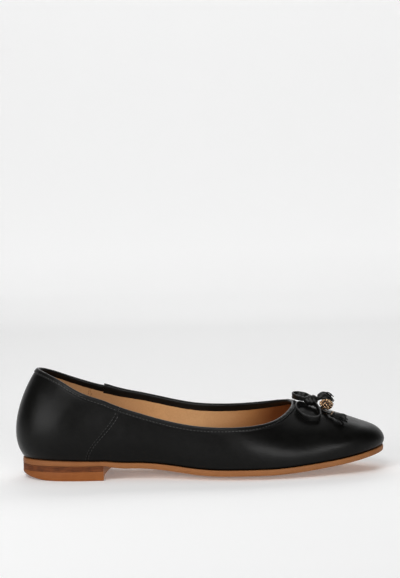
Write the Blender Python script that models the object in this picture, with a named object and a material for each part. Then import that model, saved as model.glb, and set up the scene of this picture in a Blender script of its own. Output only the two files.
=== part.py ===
"""Right ballet flat: low stacked heel, leather sole, hollow leather upper, bound collar and tasselled bow.

Metres, +Z up, +X to the toe, +Y to the inner side of the foot.
Every table gives shares of the named sizes, one row for each section."""

import math

import bmesh
import bpy
import numpy as np
from mathutils import Matrix, Vector
from mathutils.bvhtree import BVHTree

# Driving sizes
SOLE_LENGTH = 0.2436
BALL_WIDTH = 0.0776
SEAT_HEIGHT = 0.0095
TOE_SPRING = 0.0126
EDGE_LIFT = 0.0032
SOLE_THICK = 0.0037
TOP_PIECE_HEIGHT = 0.0062
TOP_PIECE_WEDGE = -0.0004
HEEL_ROCKER = 0.0038
HEEL_LENGTH = 0.0556
ROCKER_LENGTH = 0.0222
BREAST_TURN = math.radians(2.7)
UPPER_HEIGHT = 0.0600
COLLAR_SETBACK = 0.0112
COLLAR_LENGTH = 0.1710
WALL = 0.0018
SOLE_MARGIN = 0.0008
INSOLE_THICK = 0.0020
BINDING_DEPTH = 0.0037
BINDING_SWELL = 0.0004
BINDING_STEP = 0.0013
BINDING_STEP_RUN = 0.030
SEAM_WIDTH = 0.0009
SEAM_DEPTH = 0.0004
GAP = 0.0003
EDGE_ROUND = 0.0005
TURN_PER_LENGTH = 2.4 / SOLE_LENGTH
TOE_PUFF = 0.0011
RIB_LEAN = 0.0194

# Bow sizes
BOW_SETBACK = 0.0130
STRING_WIDTH = 0.0032
STRING_THICK = 0.0013
LOOP_BAND = 0.0044
KNOT_LENGTH = 0.0096
KNOT_WIDTH = 0.0078
KNOT_HEIGHT = 0.0076
NEAR_LOOP_LENGTH = 0.0168
NEAR_LOOP_WIDTH = 0.0164
FAR_LOOP_LENGTH = 0.0100
FAR_LOOP_WIDTH = 0.0100
NEAR_CAP_LENGTH = 0.0030
NEAR_CAP_RADIUS = 0.0020
NEAR_TASSEL_LENGTH = 0.0126
NEAR_TASSEL_RADIUS = 0.0029
NEAR_TASSEL_SPREAD = 1.6
FAR_CAP_LENGTH = 0.0100
FAR_CAP_RADIUS = 0.0037
FAR_TASSEL_LENGTH = 0.0102
FAR_TASSEL_RADIUS = 0.0030
FAR_TASSEL_SPREAD = 1.0
TASSEL_STRIPS = 9
FLUTE_DEPTH = 0.24
FRINGE_SLIP = 0.28
LOOP_FULLNESS = 0.55
LOOP_SKEW = -0.20
LOOP_SWELL = 1.12
LOOP_LIFT = 0.86
KNOT_CLEARANCE = 0.0008
LIFT_STEPS = 25

COLUMNS = 80
HEEL_COLUMNS = 33
UP = np.array([0.0, 0.0, 1.0])

# Sole outline: share of the length from the back, then the outer and inner reach from the
# heel's own axis as shares of the ball width.
OUTLINE = [
    # along, outer, inner
    (0.000, 0.000, 0.000),
    (0.012, 0.137, 0.136),
    (0.035, 0.217, 0.214),
    (0.080, 0.292, 0.288),
    (0.140, 0.334, 0.328),
    (0.200, 0.343, 0.332),
    (0.270, 0.334, 0.307),
    (0.340, 0.332, 0.276),
    (0.400, 0.361, 0.270),
    (0.470, 0.419, 0.312),
    (0.540, 0.472, 0.390),
    (0.610, 0.499, 0.461),
    (0.680, 0.493, 0.499),
    (0.750, 0.455, 0.487),
    (0.820, 0.394, 0.428),
    (0.880, 0.340, 0.373),
    (0.930, 0.270, 0.309),
    (0.965, 0.192, 0.240),
    (0.985, 0.120, 0.172),
    (1.000, -0.026, 0.026),
]

# Underside of the sole along its middle: shares of the seat height and of the toe spring, how
# much of the edge lift the rim has there, and the sole's own thickness as a share.
UNDERSIDE = [
    # along, seat, spring, lift, thick
    (0.000, 1.030, 0.000, 0.000, 1.06),
    (0.080, 1.020, 0.000, 0.000, 0.98),
    (0.232, 1.000, 0.000, 0.000, 0.81),
    (0.250, 0.900, 0.000, 0.020, 0.92),
    (0.275, 0.801, 0.000, 0.050, 1.00),
    (0.327, 0.695, 0.000, 0.250, 1.00),
    (0.380, 0.519, 0.000, 0.520, 1.00),
    (0.437, 0.287, 0.000, 0.720, 1.00),
    (0.490, 0.102, 0.000, 0.830, 1.00),
    (0.540, 0.014, 0.000, 0.920, 1.00),
    (0.570, 0.000, 0.000, 0.960, 1.00),
    (0.673, 0.000, 0.000, 1.000, 1.00),
    (0.738, 0.000, 0.055, 1.000, 1.00),
    (0.803, 0.000, 0.195, 0.860, 1.00),
    (0.848, 0.000, 0.330, 0.690, 1.00),
    (0.892, 0.000, 0.495, 0.480, 1.00),
    (0.937, 0.000, 0.700, 0.240, 1.00),
    (0.970, 0.000, 0.860, 0.080, 1.00),
    (1.000, 0.000, 1.000, 0.000, 1.00),
]

# Collar: share of the collar length from the back, reach to each side as shares of the ball
# width, height over the sole as shares of the upper's height.
COLLAR = [
    # along, outer, inner, outer height, inner height
    (0.000, 0.000, 0.000, 1.000, 1.000),
    (0.0585, 0.187, 0.187, 0.940, 0.942),
    (0.111, 0.258, 0.271, 0.869, 0.877),
    (0.176, 0.309, 0.316, 0.769, 0.811),
    (0.252, 0.329, 0.325, 0.694, 0.753),
    (0.340, 0.344, 0.338, 0.618, 0.717),
    (0.457, 0.378, 0.358, 0.548, 0.678),
    (0.574, 0.416, 0.378, 0.521, 0.649),
    (0.703, 0.451, 0.399, 0.521, 0.642),
    (0.808, 0.438, 0.397, 0.524, 0.645),
    (0.878, 0.383, 0.350, 0.541, 0.664),
    (0.925, 0.303, 0.280, 0.565, 0.684),
    (0.966, 0.193, 0.188, 0.610, 0.701),
    (0.991, 0.097, 0.109, 0.660, 0.706),
    (1.000, -0.006, 0.006, 0.697, 0.697),
]

# Ribs of the last, from the sole's edge to the collar: where each starts and ends, how far and
# at what slope it leaves the sole, how far and at what slope it reaches the collar.
OUTER_RIBS = [
    # foot, collar, low pull, low slope, high pull, high slope
    (0.000, 0.000, 0.34, 51.0, 0.25, 52.0),
    (0.067, 0.070, 0.34, 54.0, 0.28, 58.0),
    (0.124, 0.170, 0.34, 57.0, 0.31, 66.0),
    (0.184, 0.328, 0.33, 60.0, 0.35, 75.0),
    (0.327, 0.474, 0.32, 58.0, 0.33, 80.0),
    (0.437, 0.609, 0.30, 60.0, 0.32, 81.0),
    (0.567, 0.744, 0.32, 73.0, 0.34, 69.0),
    (0.673, 0.855, 0.32, 79.0, 0.40, 55.0),
    (0.738, 0.910, 0.30, 81.0, 0.46, 45.0),
    (0.803, 0.9485, 0.27, 79.0, 0.51, 35.0),
    (0.872, 0.975, 0.24, 75.0, 0.57, 26.0),
    (0.937, 0.9906, 0.21, 69.0, 0.63, 19.0),
    (1.000, 1.000, 0.19, 63.0, 0.68, 15.5),
]
INNER_RIBS = [
    # foot, collar, low pull, low slope, high pull, high slope
    (0.000, 0.000, 0.34, 51.0, 0.25, 52.0),
    (0.067, 0.070, 0.34, 54.0, 0.28, 58.0),
    (0.124, 0.160, 0.34, 57.0, 0.31, 66.0),
    (0.180, 0.252, 0.33, 60.0, 0.35, 74.0),
    (0.327, 0.460, 0.32, 52.0, 0.35, 77.0),
    (0.437, 0.600, 0.31, 51.0, 0.35, 78.0),
    (0.567, 0.744, 0.31, 66.0, 0.36, 70.0),
    (0.673, 0.855, 0.31, 77.0, 0.40, 57.0),
    (0.738, 0.910, 0.30, 80.0, 0.46, 46.0),
    (0.803, 0.9485, 0.27, 79.0, 0.51, 35.0),
    (0.872, 0.975, 0.24, 75.0, 0.57, 26.0),
    (0.937, 0.9906, 0.21, 69.0, 0.63, 19.0),
    (1.000, 1.000, 0.19, 63.0, 0.68, 15.5),
]

# Side seams: the row of the tables that each lies on, the ribs beside it in half widths of the
# seam, and how far off the next plain rib is.
OUTER_SEAM = 3
INNER_SEAM = 3
SEAM_RIBS = [-1.6, -0.6, 0.6, 1.6]
SEAM_CLEARANCE = 3.2

# Cross-section of the collar binding: depth under the crest as a share of the binding's depth,
# and place across it, 1 at the outer face and -1 at the inner face.
BINDING_SECTION = [
    # depth, across
    (1.00, 0.88),
    (0.60, 1.00),
    (0.22, 0.90),
    (0.04, 0.52),
    (0.00, 0.00),
    (0.04, -0.52),
    (0.22, -0.90),
    (0.60, -1.00),
    (1.00, -0.88),
]

# Rows of the upper's wall: share of the way from the sole to the binding.
WALL_ROWS = [0.0, 0.035, 0.09, 0.155, 0.23, 0.32, 0.43, 0.56, 0.70, 0.85, 1.0]

# Fullness of the toe box up its ribs, as a share of the puff, and where round the sole it begins.
PUFF = [
    # share of the rib, push
    (0.00, 0.00),
    (0.03, 0.55),
    (0.10, 0.75),
    (0.17, 1.00),
    (0.25, 0.60),
    (0.34, 0.10),
    (0.42, 0.00),
    (1.00, 0.00),
]
PUFF_START = 0.80
PUFF_FULL = 0.95
PUFF_TURN = 0.30

# Places along the bow, from the middle of the knot: ahead and to the inner side as shares of the
# bow's setback from the throat, and height over the vamp in string widths.
NEAR_TAIL = [
    # ahead, inner, over
    (0.00, 0.02, 0.55),
    (0.28, -0.10, 0.42),
    (0.50, -0.34, 0.32),
    (0.71, -0.64, 0.46),
    (0.93, -0.90, 0.80),
]
FAR_TAIL = [
    # ahead, inner, over
    (0.00, 0.08, 1.40),
    (0.25, 0.20, 1.85),
    (0.40, 0.27, 2.10),
]
NEAR_TASSEL_END = (1.78, -1.56, 1.30)
FAR_TASSEL_END = (1.27, 0.50, 3.12)
FAR_CAP_PLACE = (0.80, 0.0, 0.0)
NEAR_LOOP_HEADING = math.radians(-98.0)
FAR_LOOP_HEADING = math.radians(142.0)
NEAR_LOOP_OVER = (1.40, 0.70)
FAR_LOOP_OVER = (1.70, 1.12)

# Middle line of the sole's faces, as shares of its length, and their rings: share of the way
# from that line to the rim.
SPINE_START = 0.10
SPINE_END = 0.93
FLAT_SHARE = 0.36
FACE_RINGS = [1.0, 0.84, 0.68, 0.52, FLAT_SHARE, 0.0]


def angle_of(along):
    """Angle round a closed outline at which the share `along` of its length is reached."""
    return np.arccos(1.0 - 2.0 * np.clip(np.asarray(along, float), 0.0, 1.0))


def along_of(angle):
    return (1.0 - np.cos(angle)) / 2.0


def gentle(stations, values):
    """Smooth curve through a row of values that never overshoots them."""
    x = np.asarray(stations, float)
    y = np.asarray(values, float)
    step = np.diff(x)
    slope = np.diff(y) / step
    tangent = np.zeros_like(y)
    both = slope[:-1] * slope[1:] > 0
    first = 2 * step[1:] + step[:-1]
    second = step[1:] + 2 * step[:-1]
    safe = np.where(both, slope[:-1] * slope[1:], 1.0)
    mean = (first + second) * safe / (first * slope[1:] + second * slope[:-1] + 1e-30)
    tangent[1:-1] = np.where(both, mean, 0.0)
    tangent[0] = slope[0]
    tangent[-1] = slope[-1]

    def curve(at):
        at = np.clip(np.asarray(at, float), x[0], x[-1])
        k = np.clip(np.searchsorted(x, at, side="right") - 1, 0, len(step) - 1)
        t = (at - x[k]) / step[k]
        low = (1 + 2 * t) * (1 - t) ** 2 * y[k] + t * (1 - t) ** 2 * step[k] * tangent[k]
        high = t * t * (3 - 2 * t) * y[k + 1] + t * t * (t - 1) * step[k] * tangent[k + 1]
        return low + high

    return curve


def looped(angles, values):
    """Smooth closed curve through values at angles that go once round."""
    x = np.asarray(angles, float)
    y = np.asarray(values, float)
    n = len(x)
    turn = np.append(x, x[0] + 2 * math.pi)
    step = np.diff(turn)
    slope = (np.append(y[1:], y[0]) - y) / step
    matrix = np.zeros((n, n))
    right = np.zeros(n)
    for i in range(n):
        matrix[i, i - 1] += step[i - 1]
        matrix[i, i] += 2 * (step[i - 1] + step[i])
        matrix[i, (i + 1) % n] += step[i]
        right[i] = 6 * (slope[i] - slope[i - 1])
    bend = np.linalg.solve(matrix, right)

    def curve(at):
        at = np.mod(np.asarray(at, float) - x[0], 2 * math.pi) + x[0]
        k = np.clip(np.searchsorted(turn, at, side="right") - 1, 0, n - 1)
        after = (k + 1) % n
        a = (turn[k + 1] - at) / step[k]
        b = (at - turn[k]) / step[k]
        curl = ((a**3 - a) * bend[k] + (b**3 - b) * bend[after]) * step[k] ** 2 / 6
        return a * y[k] + b * y[after] + curl

    return curve


def both_sides(outer_rows, inner_rows):
    """Joins the outer side's rows and the inner side's, back to front and round to the back."""
    angles = [angle_of(row[0]) for row in outer_rows]
    angles += [2 * math.pi - angle_of(row[0]) for row in inner_rows[-2:0:-1]]
    values = [row[1] for row in outer_rows] + [row[1] for row in inner_rows[-2:0:-1]]
    return looped(angles, values)


def unit(vectors):
    return vectors / np.linalg.norm(vectors, axis=-1, keepdims=True)


def columns_of(rows):
    return list(zip(*rows))


# Sole forms
breadth = both_sides([(r[0], -r[1]) for r in OUTLINE], [(r[0], r[2]) for r in OUTLINE])
under_along, under_seat, under_spring, under_lift, under_thick = columns_of(UNDERSIDE)
seat_share = gentle(under_along, under_seat)
spring_share = gentle(under_along, under_spring)
lift_share = gentle(under_along, under_lift)
thick_share = gentle(under_along, under_thick)


def outline(angle, inset=0.0):
    """Plan of the sole at an angle round it, moved inward by inset."""
    angle = np.asarray(angle, float)
    points = np.stack(
        [SOLE_LENGTH * along_of(angle), BALL_WIDTH * breadth(angle), np.zeros_like(angle)],
        axis=-1,
    )
    return points - outward(angle) * np.asarray(inset)[..., None]


def outward(angle):
    """Level direction straight out of the sole's edge."""
    turn = 1e-3
    ahead_x = SOLE_LENGTH * (along_of(angle + turn) - along_of(angle - turn))
    ahead_y = BALL_WIDTH * (breadth(angle + turn) - breadth(angle - turn))
    return unit(np.stack([ahead_y, -ahead_x, np.zeros_like(ahead_x)], axis=-1))


def underside(x, share=0.0):
    """Height of the sole's lower face, share 0 on the middle line and 1 at the rim."""
    along = x / SOLE_LENGTH
    edge = np.clip((share - FLAT_SHARE) / (1 - FLAT_SHARE), 0.0, 1.0) ** 2
    middle = SEAT_HEIGHT * seat_share(along) + TOE_SPRING * spring_share(along)
    return middle + EDGE_LIFT * lift_share(along) * edge


def sole_top(x, share=0.0):
    return underside(x, share) + SOLE_THICK * thick_share(x / SOLE_LENGTH)


def middle_line(angle):
    """Line that the sole's rings close on, short of the rounded ends."""
    x = SOLE_LENGTH * along_of(angle)
    inside = np.clip(x, SPINE_START * SOLE_LENGTH, SPINE_END * SOLE_LENGTH)
    at = angle_of(inside / SOLE_LENGTH)
    width = BALL_WIDTH * (breadth(at) + breadth(-at)) / 2
    return np.stack([inside, width, np.zeros_like(x)], axis=-1)


def level_ring(angles, share, inset, height):
    """Ring of a sole-shaped face; height is a function of x and share."""
    rim = outline(angles, inset)
    spine = middle_line(angles)
    points = spine + share * (rim - spine)
    points[:, 2] = height(points[:, 0], share)
    return points


# Collar and ribs
collar_breadth = both_sides([(r[0], -r[1]) for r in COLLAR], [(r[0], r[2]) for r in COLLAR])
collar_height = both_sides([(r[0], r[3]) for r in COLLAR], [(r[0], r[4]) for r in COLLAR])


def rib_values(column):
    outer = [(r[0], r[column]) for r in OUTER_RIBS]
    inner = [(r[0], r[column]) for r in INNER_RIBS]
    return both_sides(outer, inner)


low_pull, low_slope, high_pull, high_slope = (rib_values(c) for c in (2, 3, 4, 5))
rib_turns = [angle_of(r[0]) for r in OUTER_RIBS]
rib_turns += [2 * math.pi - angle_of(r[0]) for r in INNER_RIBS[-2::-1]]
collar_turns = [angle_of(r[1]) for r in OUTER_RIBS]
collar_turns += [2 * math.pi - angle_of(r[1]) for r in INNER_RIBS[-2::-1]]
collar_turn = gentle(rib_turns, collar_turns)


puff_up = gentle(*columns_of(PUFF))


def foot_line(angle):
    """Upper's lower edge, just over the sole's upper face."""
    points = outline(angle, np.full_like(angle, SOLE_MARGIN))
    points[..., 2] = sole_top(points[..., 0], 1.0) + GAP
    return points


def seam_angles():
    """Angles of the side seams, which lie on a rib of each side."""
    outer = angle_of(OUTER_RIBS[OUTER_SEAM][0])
    inner = 2 * math.pi - angle_of(INNER_RIBS[INNER_SEAM][0])
    return float(outer), float(inner)


def binding_step(angle):
    """How much higher the front binding stands: most at the inner seam, and less ahead of it."""
    inner = seam_angles()[1]
    ahead = SOLE_LENGTH * (along_of(angle) - along_of(inner)) / BINDING_STEP_RUN
    front = (angle > math.pi) & (angle < inner)
    return np.where(front, BINDING_STEP * np.clip(1.0 - ahead, 0.0, 1.0) ** 2, 0.0)


def collar_line(angle):
    """Crest of the collar over each rib."""
    turn = collar_turn(np.mod(angle, 2 * math.pi))
    x = COLLAR_SETBACK + COLLAR_LENGTH * along_of(turn)
    z = sole_top(x) + UPPER_HEIGHT * collar_height(turn)
    return np.stack([x, BALL_WIDTH * collar_breadth(turn), z], axis=-1)


def toe_puff(angle, share):
    """Extra fullness of the toe box, outward low down and upward over the shoulder."""
    begun = np.clip((along_of(angle) - PUFF_START) / (PUFF_FULL - PUFF_START), 0.0, 1.0)
    begun = begun * begun * (3 - 2 * begun)
    push = TOE_PUFF * begun[:, None] * puff_up(share)
    tilt = math.pi / 2 * np.clip(share / PUFF_TURN, 0.0, 1.0)
    level = np.cos(tilt)[..., None] * outward(angle)[:, None]
    return push[..., None] * (level + np.sin(tilt)[..., None] * UP)


def rib_points(angle, shares):
    """Outer face of the upper: a row of points up each rib, one for each share of its length."""
    angle = np.asarray(angle, float)
    foot = foot_line(angle)
    top = collar_line(angle)
    reach = np.linalg.norm(top - foot, axis=-1, keepdims=True)
    out = outward(angle)
    run = (foot - top) * np.array([1.0, 1.0, 0.0])
    away = unit(run + RIB_LEAN * out)
    low = np.radians(low_slope(angle))[:, None]
    high = np.radians(high_slope(angle))[:, None]
    low_arm = low_pull(angle)[:, None] * reach
    high_arm = high_pull(angle)[:, None] * reach
    second = foot + low_arm * (np.cos(low) * out + np.sin(low) * UP)
    third = top + high_arm * (np.cos(high) * away - np.sin(high) * UP)
    t = np.linspace(0.0, 1.0, 81)[:, None, None]
    fine = (1 - t) ** 3 * foot + 3 * t * (1 - t) ** 2 * second
    fine = fine + 3 * t * t * (1 - t) * third + t**3 * top
    lengths = np.linalg.norm(np.diff(fine, axis=0), axis=-1)
    travelled = np.concatenate([np.zeros((1, len(angle))), np.cumsum(lengths, axis=0)])
    total = travelled[-1]
    wanted = shares(total)
    result = np.zeros((*wanted.shape, 3))
    for i in range(len(angle)):
        for axis in range(3):
            result[i, :, axis] = np.interp(wanted[i], travelled[:, i], fine[:, i, axis])
    return result + toe_puff(angle, wanted / total[:, None])


def face_normals(angle, shares):
    """Outward direction of the upper's face at the points of rib_points."""
    turn = 2e-3
    rise = 3e-4
    around = rib_points(angle + turn, shares) - rib_points(angle - turn, shares)
    higher = rib_points(angle, lambda total: shares(total) + rise)
    lower = rib_points(angle, lambda total: shares(total) - rise)
    return unit(np.cross(around, higher - lower))


# Meshes
def skin(name, rings, material, wrap=False, caps=False):
    """Closed body from rings of equal size; wrap joins the last ring to the first."""
    bm = bmesh.new()
    loops = [[bm.verts.new(Vector(point)) for point in ring] for ring in rings]
    pairs = list(zip(loops, loops[1:]))
    if wrap:
        pairs.append((loops[-1], loops[0]))
    for low, high in pairs:
        count = len(low)
        for i in range(count):
            bm.faces.new((low[i], low[(i + 1) % count], high[(i + 1) % count], high[i]))
    if caps:
        bm.faces.new(loops[0])
        bm.faces.new(loops[-1])
    bmesh.ops.remove_doubles(bm, verts=bm.verts, dist=2e-6)
    bmesh.ops.dissolve_degenerate(bm, edges=bm.edges, dist=1e-6)
    bmesh.ops.recalc_face_normals(bm, faces=bm.faces)
    if bm.calc_volume(signed=True) < 0:
        bmesh.ops.reverse_faces(bm, faces=bm.faces)
    mesh = bpy.data.meshes.new(name)
    bm.to_mesh(mesh)
    bm.free()
    mesh.shade_smooth()
    mesh.set_sharp_from_angle(angle=math.radians(40))
    mesh.materials.append(material)
    piece = bpy.data.objects.new(name, mesh)
    bpy.context.scene.collection.objects.link(piece)
    return piece


def finish(name, colour, roughness, metallic=0.0):
    material = bpy.data.materials.new(name)
    material.use_nodes = True
    shader = material.node_tree.nodes["Principled BSDF"]
    shader.inputs["Base Color"].default_value = (*colour, 1.0)
    shader.inputs["Roughness"].default_value = roughness
    shader.inputs["Metallic"].default_value = metallic
    return material


# Sole, heel and insole
def face_rings(angles, inset, height, shares=FACE_RINGS):
    return [level_ring(angles, share, inset, height) for share in shares]


def sole_angles():
    return np.arange(COLUMNS) * 2 * math.pi / COLUMNS


def make_outsole(material):
    angles = sole_angles()
    lower = face_rings(angles, EDGE_ROUND, underside)[::-1]
    upper = face_rings(angles, EDGE_ROUND, sole_top, [1.0, 0.68, FLAT_SHARE, 0.0])
    low_side = level_ring(angles, 1.0, 0.0, lambda x, s: underside(x, s) + EDGE_ROUND)
    high_side = level_ring(angles, 1.0, 0.0, lambda x, s: sole_top(x, s) - EDGE_ROUND)
    return skin("outsole", lower + [low_side, high_side] + upper, material)


def heel_plan(inset):
    """Plan of a heel layer: round the back from breast to breast, then across the breast."""
    width = 2 * OUTLINE[5][1] * BALL_WIDTH
    outer_corner = angle_of(HEEL_LENGTH / SOLE_LENGTH)
    inner_corner = angle_of((HEEL_LENGTH + math.tan(BREAST_TURN) * width) / SOLE_LENGTH)
    curve = outline(np.linspace(outer_corner, -inner_corner, HEEL_COLUMNS), inset)
    across = np.array([0.25, 0.5, 0.75])[:, None]
    return np.concatenate([curve, curve[-1] + (curve[0] - curve[-1]) * across])


def make_heel_layer(name, low, high, round_low, material):
    """Heel layer between two height functions of x; round_low is the rounding of its lower edge."""
    plan = heel_plan(0.0)
    centre = np.array([HEEL_LENGTH / 2, 0.0, 0.0])

    def ring(share, inset, height):
        around = heel_plan(inset) if inset else plan
        points = centre + share * (around - centre)
        points[:, 2] = height(points[:, 0])
        return points

    shares = [0.0, 0.55, 1.0]
    rings = [ring(share, round_low, low) for share in shares]
    rings.append(ring(1.0, 0.0, lambda x: low(x) + round_low))
    rings.append(ring(1.0, 0.0, high))
    rings += [ring(share, 0.0, high) for share in shares[-2::-1]]
    return skin(name, rings, material)


def top_piece_ceiling(x):
    return TOP_PIECE_HEIGHT + TOP_PIECE_WEDGE * np.clip(1.0 - x / HEEL_LENGTH, 0.0, 1.0)


def top_piece_floor(x):
    return HEEL_ROCKER * np.clip(1.0 - x / ROCKER_LENGTH, 0.0, 1.0) ** 2


def make_insole(material):
    angles = sole_angles()
    inset = np.full_like(angles, SOLE_MARGIN + WALL + GAP)
    rings = [1.0, 0.68, FLAT_SHARE, 0.0]

    def low(x, share):
        return sole_top(x, share) + GAP

    def high(x, share):
        return low(x, share) + INSOLE_THICK

    lower = face_rings(angles, inset, low, rings)[::-1]
    upper = face_rings(angles, inset + EDGE_ROUND, high, rings)
    side = level_ring(angles, 1.0, inset, lambda x, s: high(x, s) - EDGE_ROUND)
    return skin("insole", lower + [side] + upper, material)


# Upper
def upper_angles():
    """Ribs round the last, with four close together at each side seam."""
    half_turn = SEAM_WIDTH * TURN_PER_LENGTH
    plain = sole_angles()
    for seam in seam_angles():
        plain = plain[np.abs(plain - seam) > SEAM_CLEARANCE * half_turn]
        plain = np.append(plain, seam + np.array(SEAM_RIBS) * half_turn)
    return np.sort(plain)


def seam_groove(angles):
    half_turn = SEAM_WIDTH * TURN_PER_LENGTH
    depth = np.zeros_like(angles)
    for seam in seam_angles():
        depth[np.abs(angles - seam) < half_turn] = SEAM_DEPTH
    return depth


def wall_rows(total):
    """Distances up each rib of the wall's rows, ending just under the binding."""
    end = total - BINDING_DEPTH - GAP
    return end[:, None] * np.array(WALL_ROWS)


def make_upper(material):
    angles = upper_angles()
    outer = rib_points(angles, wall_rows)
    normals = face_normals(angles, wall_rows)
    inner = outer - normals * WALL
    inner[:, 0, 2] = np.maximum(inner[:, 0, 2], outer[:, 0, 2])
    outer = outer - normals * seam_groove(angles)[:, None, None]
    rings = [outer[:, row] for row in range(outer.shape[1])]
    rings += [inner[:, row] for row in range(inner.shape[1])][::-1]
    return skin("upper", rings, material, wrap=True)


def binding_rings(angles, lift):
    """Sections of the collar binding at the angles, its crest raised by lift."""
    half = WALL / 2 + BINDING_SWELL
    depths = np.array([row[0] for row in BINDING_SECTION]) * BINDING_DEPTH

    def rows(total):
        return total[:, None] - depths[None, :]

    points = rib_points(angles, rows)
    normals = face_normals(angles, rows)
    across = np.array([row[1] for row in BINDING_SECTION]) * half - WALL / 2
    raised = np.asarray(lift)[:, None] * (1.0 - depths / BINDING_DEPTH)[None, :]
    return points + normals * across[None, :, None] + raised[..., None] * UP


def make_binding_back(material):
    outer, inner = seam_angles()
    half_gap = GAP * TURN_PER_LENGTH
    angles = np.linspace(inner - 2 * math.pi + half_gap, outer - half_gap, 35)
    return skin("collar_binding_back", binding_rings(angles, 0.0 * angles), material, caps=True)


def make_binding_front(material):
    outer, inner = seam_angles()
    half_gap = GAP * TURN_PER_LENGTH
    angles = np.linspace(outer + half_gap, inner - half_gap, 55)
    rings = binding_rings(angles, binding_step(angles))
    return skin("collar_binding_front", rings, material, caps=True)


# Bow
def vamp_tree(pieces):
    """Search tree of the pieces that the bow lies on."""
    corners = []
    faces = []
    for piece in pieces:
        first = len(corners)
        corners += [vertex.co for vertex in piece.data.vertices]
        faces += [[first + corner for corner in face.vertices] for face in piece.data.polygons]
    return BVHTree.FromPolygons(corners, faces)


def vamp_height(tree, x, y, missing):
    hit = tree.ray_cast(Vector((x, y, 1.0)), Vector((0.0, 0.0, -1.0)))[0]
    return missing if hit is None else hit.z


def bow_place(tree, ahead, inner, over):
    """Point over the vamp from shares of the bow's setback, over it by string widths."""
    x = COLLAR_SETBACK + COLLAR_LENGTH + BOW_SETBACK * (1.0 + ahead)
    y = BOW_SETBACK * inner
    return np.array([x, y, vamp_height(tree, x, y, 0.0) + over * STRING_WIDTH])


def lifted(tree, point, clearance):
    """The point raised until it stands clear of the vamp by clearance."""
    point = np.array(point)
    for _ in range(LIFT_STEPS):
        distance = tree.find_nearest(Vector(point))[3]
        point[2] += max(clearance - distance, 0.0)
    return point


def knot_middle(tree):
    x, y, z = bow_place(tree, 0.0, 0.0, 0.0)
    return np.array([x, y, z + GAP + KNOT_HEIGHT / 2])


def clear_of_knot(points, middle):
    """Keeps the points of a path that lie outside the knot with its clearance."""
    reach = np.array([KNOT_LENGTH, KNOT_WIDTH, KNOT_HEIGHT]) / 2 + KNOT_CLEARANCE
    return points[np.linalg.norm((points - middle) / reach, axis=1) > 1.0]


def through(points, count):
    """Evenly spaced points on a smooth path through the given ones."""
    points = np.array(points)
    steps = np.linalg.norm(np.diff(points, axis=0), axis=1)
    travelled = np.concatenate([[0.0], np.cumsum(steps)])
    at = np.linspace(0.0, travelled[-1], count)
    return np.stack([gentle(travelled, points[:, axis])(at) for axis in range(3)], axis=-1)


def string_rings(path, width_way, width):
    """Sections of the flat string along a path; width_way gives its width direction."""
    tangent = unit(np.gradient(path, axis=0))
    across = unit(width_way - (width_way * tangent).sum(axis=1, keepdims=True) * tangent)
    thick = np.cross(tangent, across)
    rings = []
    for point, side, up in zip(path, across, thick):
        ring = []
        for turn in np.arange(8) * math.pi / 4 + math.pi / 8:
            wide = math.copysign(abs(math.cos(turn)) ** 0.6, math.cos(turn)) * width / 2
            high = math.copysign(abs(math.sin(turn)) ** 0.6, math.sin(turn)) * STRING_THICK / 2
            ring.append(point + wide * side + high * up)
        rings.append(ring)
    return rings


def make_loop(name, tree, heading, size, over, tip_floor, skew, material):
    """Bow loop: a drop-shaped ring of string that leaves the knot and comes back to it."""
    length, width = size
    middle = knot_middle(tree)
    foot = bow_place(tree, 0.0, 0.0, over[0])
    out = np.array([math.cos(heading), math.sin(heading), 0.0])
    tip = middle + out * (KNOT_WIDTH / 2 + length)
    floor = foot[2] - over[0] * STRING_WIDTH
    tip[2] = max(vamp_height(tree, tip[0], tip[1], floor), tip_floor) + over[1] * STRING_WIDTH
    start = np.array([middle[0], middle[1], foot[2]])
    away = tip - start
    side = unit(np.cross(UP, away))
    turn = np.linspace(-math.pi, math.pi, 241)[:, None]
    reach = (1 + np.cos(turn)) / 2
    bulge = np.sin(turn) * np.sin(math.pi / 2 * reach**LOOP_FULLNESS) * LOOP_SWELL
    skewed = reach - skew * np.sin(turn) * np.sin(math.pi * reach)
    path = start + skewed * away + bulge * width / 2 * side
    path = through(clear_of_knot(path, middle), 21)
    for point in path:
        below = vamp_height(tree, point[0], point[1], 0.0)
        point[2] = max(point[2], below + LOOP_LIFT * STRING_WIDTH + GAP)
    facing = np.tile(unit(np.cross(away, side)), (len(path), 1))
    return skin(name, string_rings(path, facing, LOOP_BAND), material, caps=True)


def make_tail(name, tree, places, clearance, material):
    """Free end of the bow, lying flat, from the knot to its tassel; gives its last point too."""
    points = [bow_place(tree, *place) for place in places]
    points[-1] = lifted(tree, points[-1], clearance)
    path = through(points, 160)
    path = through(clear_of_knot(path, knot_middle(tree)), 12)
    tangent = np.gradient(path, axis=0)
    rings = string_rings(path, np.cross(tangent, UP), STRING_WIDTH)
    return skin(name, rings, material, caps=True), path[-1]


def round_rings(root, tip, radius_of, count, flutes=0, depth=0.0, ragged=0.0, spread=1.0):
    """Rings round the line from root to tip, fluted more and more toward the tip."""
    axis = unit(tip - root)
    side = unit(np.cross(axis, UP))
    up = np.cross(side, axis)
    turn = np.arange(count) * 2 * math.pi / count
    rings = []
    for share, radius in radius_of:
        wave = 1.0 + depth * share * np.cos(flutes * turn)
        slip = ragged * share * share * np.sin(0.5 * flutes * turn + 1.0) * min(1.0, radius / 1e-4)
        centre = root + (tip - root) * share
        around = np.cos(turn)[:, None] * spread * side + np.sin(turn)[:, None] * up
        rings.append(centre + (radius * wave)[:, None] * around + slip[:, None] * axis)
    return rings


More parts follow.
